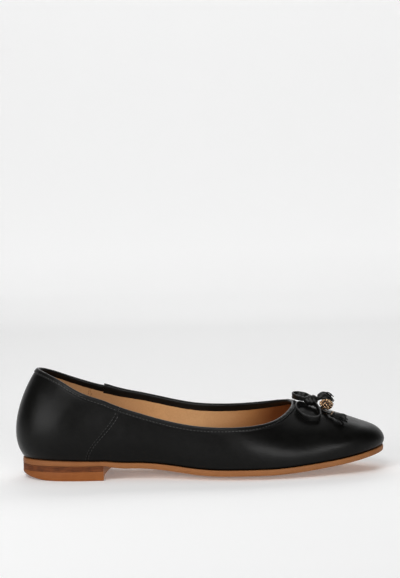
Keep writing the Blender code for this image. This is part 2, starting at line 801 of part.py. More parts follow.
def make_knot(tree, material):
    middle = knot_middle(tree)
    rings = []
    for share in np.linspace(0.0, 1.0, 11):
        polar = math.pi * share
        turn = np.arange(16) * 2 * math.pi / 16
        swell = 1.0 - 0.05 * (1 + math.cos(6 * polar)) / 2
        x = -math.cos(polar) * KNOT_LENGTH / 2 * np.ones_like(turn)
        y = math.sin(polar) * np.cos(turn) * KNOT_WIDTH / 2 * swell
        z = math.sin(polar) * np.sin(turn) * KNOT_HEIGHT / 2 * swell
        rings.append(middle + np.stack([x, y, z], axis=-1))
    return skin("bow_knot", rings, material)


def make_near_tassel(tree, root, leather, gilt):
    """Small gilt cap on the near tail and the leather fringe that it holds."""
    aim = bow_place(tree, *NEAR_TASSEL_END)
    tip = root + unit(aim - root) * NEAR_TASSEL_LENGTH
    tip = lifted(tree, tip, NEAR_TASSEL_RADIUS * (1 + FLUTE_DEPTH) + GAP)
    axis = unit(tip - root)
    cap_root = root + axis * 3 * GAP
    cap_tip = cap_root + axis * NEAR_CAP_LENGTH
    cap_form = [(0.0, 0.0), (0.02, 0.7), (0.15, 0.95), (0.85, 1.0), (0.98, 0.75), (1.0, 0.0)]
    cap_form = [(share, radius * NEAR_CAP_RADIUS) for share, radius in cap_form]
    cap = skin("tassel_cap_near", round_rings(cap_root, cap_tip, cap_form, 16), gilt)
    fringe_root = cap_tip + axis * GAP
    fringe_tip = fringe_root + axis * (NEAR_TASSEL_LENGTH - NEAR_CAP_LENGTH)
    size = (NEAR_TASSEL_RADIUS, NEAR_TASSEL_SPREAD)
    fringe = make_fringe("tassel_near", fringe_root, fringe_tip, size, leather)
    return [cap, fringe]


def make_fringe(name, root, tip, size, material):
    radius, spread = size
    form = [(0.0, 0.0), (0.0, 0.42), (0.12, 0.52), (0.4, 0.74), (0.7, 0.92), (1.0, 1.0), (0.86, 0.0)]
    form = [(share, part * radius) for share, part in form]
    rings = round_rings(
        root, tip, form, 4 * TASSEL_STRIPS, TASSEL_STRIPS, FLUTE_DEPTH, radius * FRINGE_SLIP, spread
    )
    return skin(name, rings, material)


def make_far_tassel(tree, root, leather, gilt):
    """Fringe that stands off the far tail, over a gilt bead that lies on the vamp."""
    tip = bow_place(tree, *FAR_TASSEL_END)
    axis = unit(tip - root)
    fringe_root = root + axis * 2 * GAP
    fringe_tip = fringe_root + axis * FAR_TASSEL_LENGTH
    size = (FAR_TASSEL_RADIUS, FAR_TASSEL_SPREAD)
    fringe = make_fringe("tassel_far", fringe_root, fringe_tip, size, leather)
    place = bow_place(tree, *FAR_CAP_PLACE) + FAR_CAP_RADIUS * UP
    place = lifted(tree, place, FAR_CAP_RADIUS + GAP)
    half = FAR_CAP_LENGTH / 2 * unit(axis * np.array([1.0, 1.0, 0.0]) - 0.28 * UP)
    form = [(0.0, 0.0), (0.04, 0.42), (0.16, 0.78), (0.34, 0.97), (0.5, 1.0)]
    form += [(1.0 - share, radius) for share, radius in form[-2::-1]]
    form = [(share, radius * FAR_CAP_RADIUS) for share, radius in form]
    bead = skin("tassel_cap_far", round_rings(place - half, place + half, form, 20), gilt)
    return [fringe, bead]


def make_bow(carriers, leather, gilt):
    tree = vamp_tree(carriers)
    crest = collar_line(np.array([math.pi]))[0, 2]
    cap_clearance = NEAR_CAP_RADIUS + GAP
    near_tail, near_end = make_tail("bow_tail_near", tree, NEAR_TAIL, cap_clearance, leather)
    far_tail, far_end = make_tail("bow_tail_far", tree, FAR_TAIL, GAP, leather)
    near_size = (NEAR_LOOP_LENGTH, NEAR_LOOP_WIDTH)
    near_loop = make_loop(
        "bow_loop_near", tree, NEAR_LOOP_HEADING, near_size, NEAR_LOOP_OVER, 0.0, LOOP_SKEW, leather
    )
    far_size = (FAR_LOOP_LENGTH, FAR_LOOP_WIDTH)
    far_loop = make_loop(
        "bow_loop_far", tree, FAR_LOOP_HEADING, far_size, FAR_LOOP_OVER, crest, 0.0, leather
    )
    pieces = [make_knot(tree, leather), near_tail, far_tail, near_loop, far_loop]
    pieces += make_near_tassel(tree, near_end, leather, gilt)
    return pieces + make_far_tassel(tree, far_end, leather, gilt)


def clear_scene():
    for thing in list(bpy.data.objects):
        bpy.data.objects.remove(thing, do_unlink=True)


def settle(pieces):
    """Puts the middle of the shoe's plan over the origin and hangs the pieces on one empty."""
    low = np.min([np.min([v.co[:] for v in piece.data.vertices], axis=0) for piece in pieces], axis=0)
    high = np.max([np.max([v.co[:] for v in piece.data.vertices], axis=0) for piece in pieces], axis=0)
    middle = (low + high) / 2
    shoe = bpy.data.objects.new("ballet_flat", None)
    bpy.context.scene.collection.objects.link(shoe)
    for piece in pieces:
        piece.data.transform(Matrix.Translation((-middle[0], -middle[1], -low[2])))
        piece.parent = shoe


def main():
    clear_scene()
    tan_leather = finish("sole_leather", (0.39, 0.14, 0.045), 0.55)
    dark_leather = finish("heel_leather", (0.15, 0.042, 0.016), 0.6)
    black_leather = finish("black_leather", (0.011, 0.011, 0.0105), 0.42)
    lining = finish("insole_leather", (0.47, 0.235, 0.10), 0.6)
    outsole = make_outsole(tan_leather)
    top_piece = make_heel_layer(
        "heel_top_piece", top_piece_floor, top_piece_ceiling, EDGE_ROUND, tan_leather
    )
    lift = make_heel_layer(
        "heel_lift",
        lambda x: top_piece_ceiling(x) + GAP,
        lambda x: underside(x) - GAP,
        0.0,
        dark_leather,
    )
    insole = make_insole(lining)
    upper = make_upper(black_leather)
    binding_back = make_binding_back(black_leather)
    binding_front = make_binding_front(black_leather)
    shoe = [outsole, top_piece, lift, insole, upper, binding_back, binding_front]
    gilt = finish("gilt_metal", (0.72, 0.48, 0.20), 0.3, 1.0)
    settle(shoe + make_bow([upper, binding_front], black_leather, gilt))


main()
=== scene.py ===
"""Black leather ballet flat, right shoe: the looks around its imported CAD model.

Metres, +Z up, +X to the toe, +Y to the inner side of the foot."""

import math

import bmesh
import bpy
import numpy as np
from mathutils import Matrix, Vector
from mathutils.bvhtree import BVHTree


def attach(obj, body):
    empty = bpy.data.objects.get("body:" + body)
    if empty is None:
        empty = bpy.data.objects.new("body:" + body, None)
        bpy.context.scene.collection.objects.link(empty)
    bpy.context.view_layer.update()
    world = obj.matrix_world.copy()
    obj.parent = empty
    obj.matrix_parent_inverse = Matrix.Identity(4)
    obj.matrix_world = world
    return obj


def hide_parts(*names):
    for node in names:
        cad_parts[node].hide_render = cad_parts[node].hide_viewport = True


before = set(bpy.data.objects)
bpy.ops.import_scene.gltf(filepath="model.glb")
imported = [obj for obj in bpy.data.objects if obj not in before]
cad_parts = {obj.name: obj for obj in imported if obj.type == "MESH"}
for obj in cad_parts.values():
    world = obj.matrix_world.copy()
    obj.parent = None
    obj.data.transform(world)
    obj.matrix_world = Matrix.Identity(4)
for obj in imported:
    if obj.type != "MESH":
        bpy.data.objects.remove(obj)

# Driving sizes
SOLE_LENGTH = 0.2436
BALL_WIDTH = 0.0776
SEAT_HEIGHT = 0.0095
TOE_SPRING = 0.0126
EDGE_LIFT = 0.0032
SOLE_THICK = 0.0037
TOP_PIECE_HEIGHT = 0.0062
TOP_PIECE_WEDGE = -0.0004
HEEL_ROCKER = 0.0038
HEEL_LENGTH = 0.0556
ROCKER_LENGTH = 0.0222
BREAST_TURN = math.radians(2.7)
UPPER_HEIGHT = 0.0600
COLLAR_SETBACK = 0.0112
COLLAR_LENGTH = 0.1710
WALL = 0.0018
SOLE_MARGIN = 0.0008
INSOLE_THICK = 0.0020
BINDING_DEPTH = 0.0037
BINDING_SWELL = 0.0004
BINDING_STEP = 0.0013
BINDING_STEP_RUN = 0.030
GAP = 0.0003
EDGE_ROUND = 0.0005
TURN_PER_LENGTH = 2.4 / SOLE_LENGTH
TOE_PUFF = 0.0011
RIB_LEAN = 0.0194

# Bow sizes
BOW_SETBACK = 0.0130
STRING_WIDTH = 0.0032
STRING_THICK = 0.0013
LOOP_BAND = 0.0044
KNOT_LENGTH = 0.0096
KNOT_WIDTH = 0.0078
KNOT_HEIGHT = 0.0076
NEAR_LOOP_LENGTH = 0.0168
NEAR_LOOP_WIDTH = 0.0164
FAR_LOOP_LENGTH = 0.0100
FAR_LOOP_WIDTH = 0.0100
NEAR_CAP_LENGTH = 0.0030
NEAR_CAP_RADIUS = 0.0020
NEAR_TASSEL_LENGTH = 0.0126
NEAR_TASSEL_RADIUS = 0.0029
NEAR_TASSEL_SPREAD = 1.6
FAR_CAP_LENGTH = 0.0100
FAR_CAP_RADIUS = 0.0037
FAR_TASSEL_LENGTH = 0.0102
FAR_TASSEL_RADIUS = 0.0030
FAR_TASSEL_SPREAD = 1.0
FLUTE_DEPTH = 0.24
LOOP_SWELL = 1.12
LOOP_LIFT = 0.86
LIFT_STEPS = 25

UP = np.array([0.0, 0.0, 1.0])

# Sole outline: share of the length from the back, then the outer and inner reach from the
# heel's own axis as shares of the ball width.
OUTLINE = [
    # along, outer, inner
    (0.000, 0.000, 0.000),
    (0.012, 0.137, 0.136),
    (0.035, 0.217, 0.214),
    (0.080, 0.292, 0.288),
    (0.140, 0.334, 0.328),
    (0.200, 0.343, 0.332),
    (0.270, 0.334, 0.307),
    (0.340, 0.332, 0.276),
    (0.400, 0.361, 0.270),
    (0.470, 0.419, 0.312),
    (0.540, 0.472, 0.390),
    (0.610, 0.499, 0.461),
    (0.680, 0.493, 0.499),
    (0.750, 0.455, 0.487),
    (0.820, 0.394, 0.428),
    (0.880, 0.340, 0.373),
    (0.930, 0.270, 0.309),
    (0.965, 0.192, 0.240),
    (0.985, 0.120, 0.172),
    (1.000, -0.026, 0.026),
]

# Underside of the sole along its middle: shares of the seat height and of the toe spring, how
# much of the edge lift the rim has there, and the sole's own thickness as a share.
UNDERSIDE = [
    # along, seat, spring, lift, thick
    (0.000, 1.030, 0.000, 0.000, 1.06),
    (0.080, 1.020, 0.000, 0.000, 0.98),
    (0.232, 1.000, 0.000, 0.000, 0.81),
    (0.250, 0.900, 0.000, 0.020, 0.92),
    (0.275, 0.801, 0.000, 0.050, 1.00),
    (0.327, 0.695, 0.000, 0.250, 1.00),
    (0.380, 0.519, 0.000, 0.520, 1.00),
    (0.437, 0.287, 0.000, 0.720, 1.00),
    (0.490, 0.102, 0.000, 0.830, 1.00),
    (0.540, 0.014, 0.000, 0.920, 1.00),
    (0.570, 0.000, 0.000, 0.960, 1.00),
    (0.673, 0.000, 0.000, 1.000, 1.00),
    (0.738, 0.000, 0.055, 1.000, 1.00),
    (0.803, 0.000, 0.195, 0.860, 1.00),
    (0.848, 0.000, 0.330, 0.690, 1.00),
    (0.892, 0.000, 0.495, 0.480, 1.00),
    (0.937, 0.000, 0.700, 0.240, 1.00),
    (0.970, 0.000, 0.860, 0.080, 1.00),
    (1.000, 0.000, 1.000, 0.000, 1.00),
]

# Collar: share of the collar length from the back, reach to each side as shares of the ball
# width, height over the sole as shares of the upper's height.
COLLAR = [
    # along, outer, inner, outer height, inner height
    (0.000, 0.000, 0.000, 1.000, 1.000),
    (0.0585, 0.187, 0.187, 0.940, 0.942),
    (0.111, 0.258, 0.271, 0.869, 0.877),
    (0.176, 0.309, 0.316, 0.769, 0.811),
    (0.252, 0.329, 0.325, 0.694, 0.753),
    (0.340, 0.344, 0.338, 0.618, 0.717),
    (0.457, 0.378, 0.358, 0.548, 0.678),
    (0.574, 0.416, 0.378, 0.521, 0.649),
    (0.703, 0.451, 0.399, 0.521, 0.642),
    (0.808, 0.438, 0.397, 0.524, 0.645),
    (0.878, 0.383, 0.350, 0.541, 0.664),
    (0.925, 0.303, 0.280, 0.565, 0.684),
    (0.966, 0.193, 0.188, 0.610, 0.701),
    (0.991, 0.097, 0.109, 0.660, 0.706),
    (1.000, -0.006, 0.006, 0.697, 0.697),
]

# Ribs of the last, from the sole's edge to the collar: where each starts and ends, how far and
# at what slope it leaves the sole, how far and at what slope it reaches the collar.
OUTER_RIBS = [
    # foot, collar, low pull, low slope, high pull, high slope
    (0.000, 0.000, 0.34, 51.0, 0.25, 52.0),
    (0.067, 0.070, 0.34, 54.0, 0.28, 58.0),
    (0.124, 0.170, 0.34, 57.0, 0.31, 66.0),
    (0.184, 0.328, 0.33, 60.0, 0.35, 75.0),
    (0.327, 0.474, 0.32, 58.0, 0.33, 80.0),
    (0.437, 0.609, 0.30, 60.0, 0.32, 81.0),
    (0.567, 0.744, 0.32, 73.0, 0.34, 69.0),
    (0.673, 0.855, 0.32, 79.0, 0.40, 55.0),
    (0.738, 0.910, 0.30, 81.0, 0.46, 45.0),
    (0.803, 0.9485, 0.27, 79.0, 0.51, 35.0),
    (0.872, 0.975, 0.24, 75.0, 0.57, 26.0),
    (0.937, 0.9906, 0.21, 69.0, 0.63, 19.0),
    (1.000, 1.000, 0.19, 63.0, 0.68, 15.5),
]
INNER_RIBS = [
    *OUTER_RIBS[:2],
    (0.124, 0.160, 0.34, 57.0, 0.31, 66.0),
    (0.180, 0.252, 0.33, 60.0, 0.35, 74.0),
    (0.327, 0.460, 0.32, 52.0, 0.35, 77.0),
    (0.437, 0.600, 0.31, 51.0, 0.35, 78.0),
    (0.567, 0.744, 0.31, 66.0, 0.36, 70.0),
    (0.673, 0.855, 0.31, 77.0, 0.40, 57.0),
    (0.738, 0.910, 0.30, 80.0, 0.46, 46.0),
    *OUTER_RIBS[-4:],
]

# Side seams: the row of the tables that each lies on.
OUTER_SEAM = 3
INNER_SEAM = 3

# Fullness of the toe box up its ribs, as a share of the puff, and where round the sole it begins.
PUFF = [
    # share of the rib, push
    (0.00, 0.00),
    (0.03, 0.55),
    (0.10, 0.75),
    (0.17, 1.00),
    (0.25, 0.60),
    (0.34, 0.10),
    (0.42, 0.00),
    (1.00, 0.00),
]
PUFF_START = 0.80
PUFF_FULL = 0.95
PUFF_TURN = 0.30

# Places along the bow, from the middle of the knot: ahead and to the inner side as shares of the
# bow's setback from the throat, and height over the vamp in string widths.
NEAR_TAIL = [
    # ahead, inner, over
    (0.00, 0.02, 0.55),
    (0.28, -0.10, 0.42),
    (0.50, -0.34, 0.32),
    (0.71, -0.64, 0.46),
    (0.93, -0.90, 0.80),
]
FAR_TAIL = [
    # ahead, inner, over
    (0.00, 0.08, 1.40),
    (0.25, 0.20, 1.85),
    (0.40, 0.27, 2.10),
]
NEAR_TASSEL_END = (1.78, -1.56, 1.30)
FAR_TASSEL_END = (1.27, 0.50, 3.12)
FAR_CAP_PLACE = (0.80, 0.0, 0.0)
NEAR_LOOP_HEADING = math.radians(-98.0)
FAR_LOOP_HEADING = math.radians(142.0)
NEAR_LOOP_OVER = (1.40, 0.70)
FAR_LOOP_OVER = (1.70, 1.12)

# Middle line of the sole's faces, as shares of its length, and the share of the way from that line
# to the rim at which the underside begins to lift.
SPINE_START = 0.10
SPINE_END = 0.93
FLAT_SHARE = 0.36


def angle_of(along):
    """Angle round a closed outline at which the share `along` of its length is reached."""
    return np.arccos(1.0 - 2.0 * np.clip(np.asarray(along, float), 0.0, 1.0))


def along_of(angle):
    return (1.0 - np.cos(angle)) / 2.0


def gentle(stations, values):
    """Smooth curve through a row of values that never overshoots them."""
    x = np.asarray(stations, float)
    y = np.asarray(values, float)
    step = np.diff(x)
    slope = np.diff(y) / step
    tangent = np.zeros_like(y)
    both = slope[:-1] * slope[1:] > 0
    first = 2 * step[1:] + step[:-1]
    second = step[1:] + 2 * step[:-1]
    safe = np.where(both, slope[:-1] * slope[1:], 1.0)
    mean = (first + second) * safe / (first * slope[1:] + second * slope[:-1] + 1e-30)
    tangent[1:-1] = np.where(both, mean, 0.0)
    tangent[0] = slope[0]
    tangent[-1] = slope[-1]

    def curve(at):
        at = np.clip(np.asarray(at, float), x[0], x[-1])
        k = np.clip(np.searchsorted(x, at, side="right") - 1, 0, len(step) - 1)
        t = (at - x[k]) / step[k]
        low = (1 + 2 * t) * (1 - t) ** 2 * y[k] + t * (1 - t) ** 2 * step[k] * tangent[k]
        high = t * t * (3 - 2 * t) * y[k + 1] + t * t * (t - 1) * step[k] * tangent[k + 1]
        return low + high

    return curve


def looped(angles, values):
    """Smooth closed curve through values at angles that go once round."""
    x = np.asarray(angles, float)
    y = np.asarray(values, float)
    n = len(x)
    turn = np.append(x, x[0] + 2 * math.pi)
    step = np.diff(turn)
    slope = (np.append(y[1:], y[0]) - y) / step
    matrix = np.zeros((n, n))
    right = np.zeros(n)
    for i in range(n):
        matrix[i, i - 1] += step[i - 1]
        matrix[i, i] += 2 * (step[i - 1] + step[i])
        matrix[i, (i + 1) % n] += step[i]
        right[i] = 6 * (slope[i] - slope[i - 1])
    bend = np.linalg.solve(matrix, right)

    def curve(at):
        at = np.mod(np.asarray(at, float) - x[0], 2 * math.pi) + x[0]
        k = np.clip(np.searchsorted(turn, at, side="right") - 1, 0, n - 1)
        after = (k + 1) % n
        a = (turn[k + 1] - at) / step[k]
        b = (at - turn[k]) / step[k]
        curl = ((a**3 - a) * bend[k] + (b**3 - b) * bend[after]) * step[k] ** 2 / 6
        return a * y[k] + b * y[after] + curl

    return curve


def both_sides(outer_rows, inner_rows):
    """Joins the outer side's rows and the inner side's, back to front and round to the back."""
    angles = [angle_of(row[0]) for row in outer_rows]
    angles += [2 * math.pi - angle_of(row[0]) for row in inner_rows[-2:0:-1]]
    values = [row[1] for row in outer_rows] + [row[1] for row in inner_rows[-2:0:-1]]
    return looped(angles, values)


def unit(vectors):
    return vectors / np.linalg.norm(vectors, axis=-1, keepdims=True)


def columns_of(rows):
    return list(zip(*rows))


# Sole forms
breadth = both_sides([(r[0], -r[1]) for r in OUTLINE], [(r[0], r[2]) for r in OUTLINE])
under_along, under_seat, under_spring, under_lift, under_thick = columns_of(UNDERSIDE)
seat_share = gentle(under_along, under_seat)
spring_share = gentle(under_along, under_spring)
lift_share = gentle(under_along, under_lift)
thick_share = gentle(under_along, under_thick)


def outline(angle, inset=0.0):
    """Plan of the sole at an angle round it, moved inward by inset."""
    angle = np.asarray(angle, float)
    points = np.stack(
        [SOLE_LENGTH * along_of(angle), BALL_WIDTH * breadth(angle), np.zeros_like(angle)],
        axis=-1,
    )
    return points - outward(angle) * np.asarray(inset)[..., None]


def outward(angle):
    """Level direction straight out of the sole's edge."""
    turn = 1e-3
    ahead_x = SOLE_LENGTH * (along_of(angle + turn) - along_of(angle - turn))
    ahead_y = BALL_WIDTH * (breadth(angle + turn) - breadth(angle - turn))
    return unit(np.stack([ahead_y, -ahead_x, np.zeros_like(ahead_x)], axis=-1))


def underside(x, share=0.0):
    """Height of the sole's lower face, share 0 on the middle line and 1 at the rim."""
    along = x / SOLE_LENGTH
    edge = np.clip((share - FLAT_SHARE) / (1 - FLAT_SHARE), 0.0, 1.0) ** 2
    middle = SEAT_HEIGHT * seat_share(along) + TOE_SPRING * spring_share(along)
    return middle + EDGE_LIFT * lift_share(along) * edge


def sole_top(x, share=0.0):
    return underside(x, share) + SOLE_THICK * thick_share(x / SOLE_LENGTH)


def middle_line(angle):
    """Line that the sole's rings close on, short of the rounded ends."""
    x = SOLE_LENGTH * along_of(angle)
    inside = np.clip(x, SPINE_START * SOLE_LENGTH, SPINE_END * SOLE_LENGTH)
    at = angle_of(inside / SOLE_LENGTH)
    width = BALL_WIDTH * (breadth(at) + breadth(-at)) / 2
    return np.stack([inside, width, np.zeros_like(x)], axis=-1)


def level_ring(angles, share, inset, height):
    """Ring of a sole-shaped face; height is a function of x and share."""
    rim = outline(angles, inset)
    spine = middle_line(angles)
    points = spine + share * (rim - spine)
    points[:, 2] = height(points[:, 0], share)
    return points


# Collar and ribs
collar_breadth = both_sides([(r[0], -r[1]) for r in COLLAR], [(r[0], r[2]) for r in COLLAR])
collar_height = both_sides([(r[0], r[3]) for r in COLLAR], [(r[0], r[4]) for r in COLLAR])


def rib_values(column):
    outer = [(r[0], r[column]) for r in OUTER_RIBS]
    inner = [(r[0], r[column]) for r in INNER_RIBS]
    return both_sides(outer, inner)


low_pull, low_slope, high_pull, high_slope = (rib_values(c) for c in (2, 3, 4, 5))
rib_turns = [angle_of(r[0]) for r in OUTER_RIBS]
rib_turns += [2 * math.pi - angle_of(r[0]) for r in INNER_RIBS[-2::-1]]
collar_turns = [angle_of(r[1]) for r in OUTER_RIBS]
collar_turns += [2 * math.pi - angle_of(r[1]) for r in INNER_RIBS[-2::-1]]
collar_turn = gentle(rib_turns, collar_turns)


puff_up = gentle(*columns_of(PUFF))


def foot_line(angle):
    """Upper's lower edge, just over the sole's upper face."""
    points = outline(angle, np.full_like(angle, SOLE_MARGIN))
    points[..., 2] = sole_top(points[..., 0], 1.0) + GAP
    return points


def seam_angles():
    """Angles of the side seams, which lie on a rib of each side."""
    outer = angle_of(OUTER_RIBS[OUTER_SEAM][0])
    inner = 2 * math.pi - angle_of(INNER_RIBS[INNER_SEAM][0])
    return float(outer), float(inner)


def binding_step(angle):
    """How much higher the front binding stands: most at the inner seam, and less ahead of it."""
    inner = seam_angles()[1]
    ahead = SOLE_LENGTH * (along_of(angle) - along_of(inner)) / BINDING_STEP_RUN
    front = (angle > math.pi) & (angle < inner)
    return np.where(front, BINDING_STEP * np.clip(1.0 - ahead, 0.0, 1.0) ** 2, 0.0)


def collar_line(angle):
    """Crest of the collar over each rib."""
    turn = collar_turn(np.mod(angle, 2 * math.pi))
    x = COLLAR_SETBACK + COLLAR_LENGTH * along_of(turn)
    z = sole_top(x) + UPPER_HEIGHT * collar_height(turn)
    return np.stack([x, BALL_WIDTH * collar_breadth(turn), z], axis=-1)


def toe_puff(angle, share):
    """Extra fullness of the toe box, outward low down and upward over the shoulder."""
    begun = np.clip((along_of(angle) - PUFF_START) / (PUFF_FULL - PUFF_START), 0.0, 1.0)
    begun = begun * begun * (3 - 2 * begun)
    push = TOE_PUFF * begun[:, None] * puff_up(share)
    tilt = math.pi / 2 * np.clip(share / PUFF_TURN, 0.0, 1.0)
    level = np.cos(tilt)[..., None] * outward(angle)[:, None]
    return push[..., None] * (level + np.sin(tilt)[..., None] * UP)


def rib_points(angle, shares):
    """Outer face of the upper: a row of points up each rib, one for each share of its length."""
    angle = np.asarray(angle, float)
    foot = foot_line(angle)
    top = collar_line(angle)
    reach = np.linalg.norm(top - foot, axis=-1, keepdims=True)
    out = outward(angle)
    run = (foot - top) * np.array([1.0, 1.0, 0.0])
    away = unit(run + RIB_LEAN * out)
    low = np.radians(low_slope(angle))[:, None]
    high = np.radians(high_slope(angle))[:, None]
    low_arm = low_pull(angle)[:, None] * reach
    high_arm = high_pull(angle)[:, None] * reach
    second = foot + low_arm * (np.cos(low) * out + np.sin(low) * UP)
    third = top + high_arm * (np.cos(high) * away - np.sin(high) * UP)
    t = np.linspace(0.0, 1.0, 81)[:, None, None]
    fine = (1 - t) ** 3 * foot + 3 * t * (1 - t) ** 2 * second
    fine = fine + 3 * t * t * (1 - t) * third + t**3 * top
    lengths = np.linalg.norm(np.diff(fine, axis=0), axis=-1)
    travelled = np.concatenate([np.zeros((1, len(angle))), np.cumsum(lengths, axis=0)])
    total = travelled[-1]
    wanted = shares(total)
    result = np.zeros((*wanted.shape, 3))
    for i in range(len(angle)):
        for axis in range(3):
            result[i, :, axis] = np.interp(wanted[i], travelled[:, i], fine[:, i, axis])
    return result + toe_puff(angle, wanted / total[:, None])


def face_normals(angle, shares):
    """Outward direction of the upper's face at the points of rib_points."""
    turn = 2e-3
    rise = 3e-4
    around = rib_points(angle + turn, shares) - rib_points(angle - turn, shares)
    higher = rib_points(angle, lambda total: shares(total) + rise)
    lower = rib_points(angle, lambda total: shares(total) - rise)
    return unit(np.cross(around, higher - lower))


def top_piece_ceiling(x):
    return TOP_PIECE_HEIGHT + TOP_PIECE_WEDGE * np.clip(1.0 - x / HEEL_LENGTH, 0.0, 1.0)


def top_piece_floor(x):
    return HEEL_ROCKER * np.clip(1.0 - x / ROCKER_LENGTH, 0.0, 1.0) ** 2


# Scene detail: sizes in metres, shares and counts. Steps beside the seams are in millimetres.
SHIFT = np.array([-0.1199075, 0.0000809, 0.0])
SHELL_COLUMNS = 300
SHELL_ROWS = 64
SHELL_WALL = 0.0012
SHELL_TUCK = 0.0010
SEAM_FIELD = 0.0042
SEAM_STEPS = [0.12, 0.25, 0.4, 0.6, 0.85, 1.05, 1.3, 1.7, 2.2, 2.8, 3.5]
SEAM_ROW = 0.00090
SEAM_FOOT = 0.0012
# Share of the stitch row ahead of each side seam, from its foot, drawn in black thread as painted shade.
SEAM_SHADED_SHARE = 0.42
SEAM_PROUD = 0.00012
SEAM_SUNK = -0.00002
INNER_BAND_FRONT = 0.0056
INNER_BAND_BACK = 0.0046
STITCH = 0.0017
STITCH_SPACE = 0.0006
THREAD = 0.00017
THREAD_END = 0.0004
ROW_BACK_STEPS = 260
ROW_FRONT_STEPS = 420
CLIMB_STEPS = 60
THREAD_SHARE = 0.93
BINDING_ROW = 0.0030
BINDING_GAP = 0.00004
BACK_COLUMNS = 150
FRONT_COLUMNS = 260
LINING_SEAM = 0.150
LINING_FIELD = 0.0022
LINING_STEPS = [0.25, 0.7, 1.4]
LINING_ROWS = 30
LINING_TUCK = 0.0008
LINING_BACK = 0.0003
LINING_FACE = 0.00025
LINING_SEAM_ROW = 0.0010
LINING_SEAM_FOOT = 0.004
SOLE_COLUMNS = 320
SOLE_SHARES = [0.0, 0.18, FLAT_SHARE, 0.44, 0.52, 0.60, 0.68, 0.76, 0.84]
SOLE_SHARES += [0.89, 0.908, 0.925, 0.942, 0.97, 1.0]
SOLE_SIDE = [0.0, 0.2, 0.4, 0.6, 0.8, 1.0]
SOLE_BULGE = 0.00014
CHANNEL_SHARE = 0.925
CHANNEL_WIDTH = 0.012
CHANNEL_DEPTH = 0.00018
HEEL_ARC = 150
HEEL_SHARES = [0.0, 0.3, 0.6, 0.85, 1.0]
BREAST_COLUMNS = 14
BREAST_HOLLOW = 0.0016
LAYERS = 3
TOP_PIECE_GROOVES = [(0.3, -0.0001), (0.6, -0.0001), (0.93, 0.0), (1.0, 0.00012)]
STACK_FOOT = 0.00012
LAYER_GROOVE = 0.00014
SOCK_SHARES = [1.0, 0.97, 0.94, 0.91, 0.84, 0.72, 0.6, 0.48, FLAT_SHARE, 0.2, 0.0]
SOCK_ROUND = 0.0005
SOCK_INSET = 0.0004
STRIP_WIDTH = 0.00085
STRIP_THICK = 0.00034
LOOP_GATHER = 0.40
LOOP_FLARE = 0.30
LOOP_TUCK = 0.0006
TAIL_TUCK = 0.0008
STRIP_TUCK = 0.0004
CREASE = 0.16
GOLDEN_TURN = math.pi * (3 - math.sqrt(5))
BEAD_TILT = 0.28
GRAINS = 58
GRAIN_RADIUS = 0.00066
GRAIN_SPREAD = 0.00016
GRAIN_INSET = 0.0007
GRAIN_SWELL = 0.07
CORE_INSET = 0.0010

# Grooves of the upper and the lining: depth and half width of each.
SEAM_GROOVE = (0.00020, 0.00020)
STITCH_DENT = (0.00008, 0.00026)
BINDING_DENT = (0.00012, 0.0005)
FOOT_TUCK = (0.00035, 0.0006)
LINING_GROOVE = (0.00045, 0.00026)
BINDING_DENT_DROP = 0.0002

# Leather that laps over at the side seams: how proud it stands and how far back it fades.
SEAM_LAP = (0.00020, 0.004)

# Low waves along the binding: height, length and start, measured along one point of its section.
BINDING_WAVES = [(0.00005, 0.0113, 0.0), (0.00004, 0.0047, 1.0)]
BINDING_POINT = 8

# Outer half of the binding's section, from its lower edge to its crest, then the fold of its inner
# half, where depth is past the depth of the inner band. Across is 1 at the outer face.
BINDING_EDGE = [
    # share of the binding's depth, across
    (1.05, 0.45),
    (1.00, 0.84),
    (0.94, 0.96),
    (0.87, 0.98),
    (0.81, 0.93),
    (0.75, 0.98),
    (0.66, 1.00),
    (0.50, 1.00),
    (0.36, 0.96),
    (0.24, 0.89),
    (0.14, 0.76),
    (0.065, 0.56),
    (0.02, 0.31),
    (0.00, 0.00),
]
BINDING_FOLD = [(-0.25, -1.0), (-0.06, -0.97), (0.0, -0.84), (0.04, -0.40)]

# Soft dents of the leather: place along the shoe, side, height, then length and width of the dent,
# its lean from upright in degrees and its depth. All in millimetres.
DENTS = [
    # x, side, z, length, width, lean, depth
    (70.0, -1, 33.0, 7.0, 1.8, 14.0, 0.10),
    (78.0, -1, 30.0, 8.0, 2.2, 8.0, 0.12),
    (92.0, -1, 27.0, 7.0, 2.4, -6.0, 0.09),
    (104.0, -1, 25.0, 6.0, 2.0, -12.0, 0.08),
    (128.0, -1, 24.0, 9.0, 2.6, -24.0, 0.09),
    (146.0, -1, 21.0, 10.0, 2.8, -40.0, 0.10),
    (84.0, 1, 36.0, 8.0, 2.2, 10.0, 0.12),
    (108.0, 1, 33.0, 9.0, 2.6, -8.0, 0.10),
    (140.0, 1, 28.0, 10.0, 2.8, -32.0, 0.11),
    (26.0, -1, 50.0, 9.0, 3.2, 34.0, 0.12),
    (24.0, 1, 48.0, 9.0, 3.2, 34.0, 0.12),
]

# Loops of the bow: heading, length and width, height over the vamp at the knot and at the tip in
# string widths, skew of each half, dip of each end, fullness and share of width of the second half.
NEAR_LOOP = (
    NEAR_LOOP_HEADING,
    (NEAR_LOOP_LENGTH, NEAR_LOOP_WIDTH),
    NEAR_LOOP_OVER,
    (0.02, -0.26),
    (0.0034, 0.0008),
    0.30,
    0.80,
)
FAR_LOOP = (
    FAR_LOOP_HEADING,
    (FAR_LOOP_LENGTH, FAR_LOOP_WIDTH),
    FAR_LOOP_OVER,
    (0.0, 0.0),
    (0.0004, 0.0010),
    0.55,
    1.0,
)

# Strips of each tassel: radius, spread, share of the radius at the root, count, arch and droop.
NEAR_STRIPS = (NEAR_TASSEL_RADIUS, NEAR_TASSEL_SPREAD, 0.38, 38, 0.0006, 0.0003)
FAR_STRIPS = (FAR_TASSEL_RADIUS, FAR_TASSEL_SPREAD, 0.72, 30, 0.0016, 0.0024)

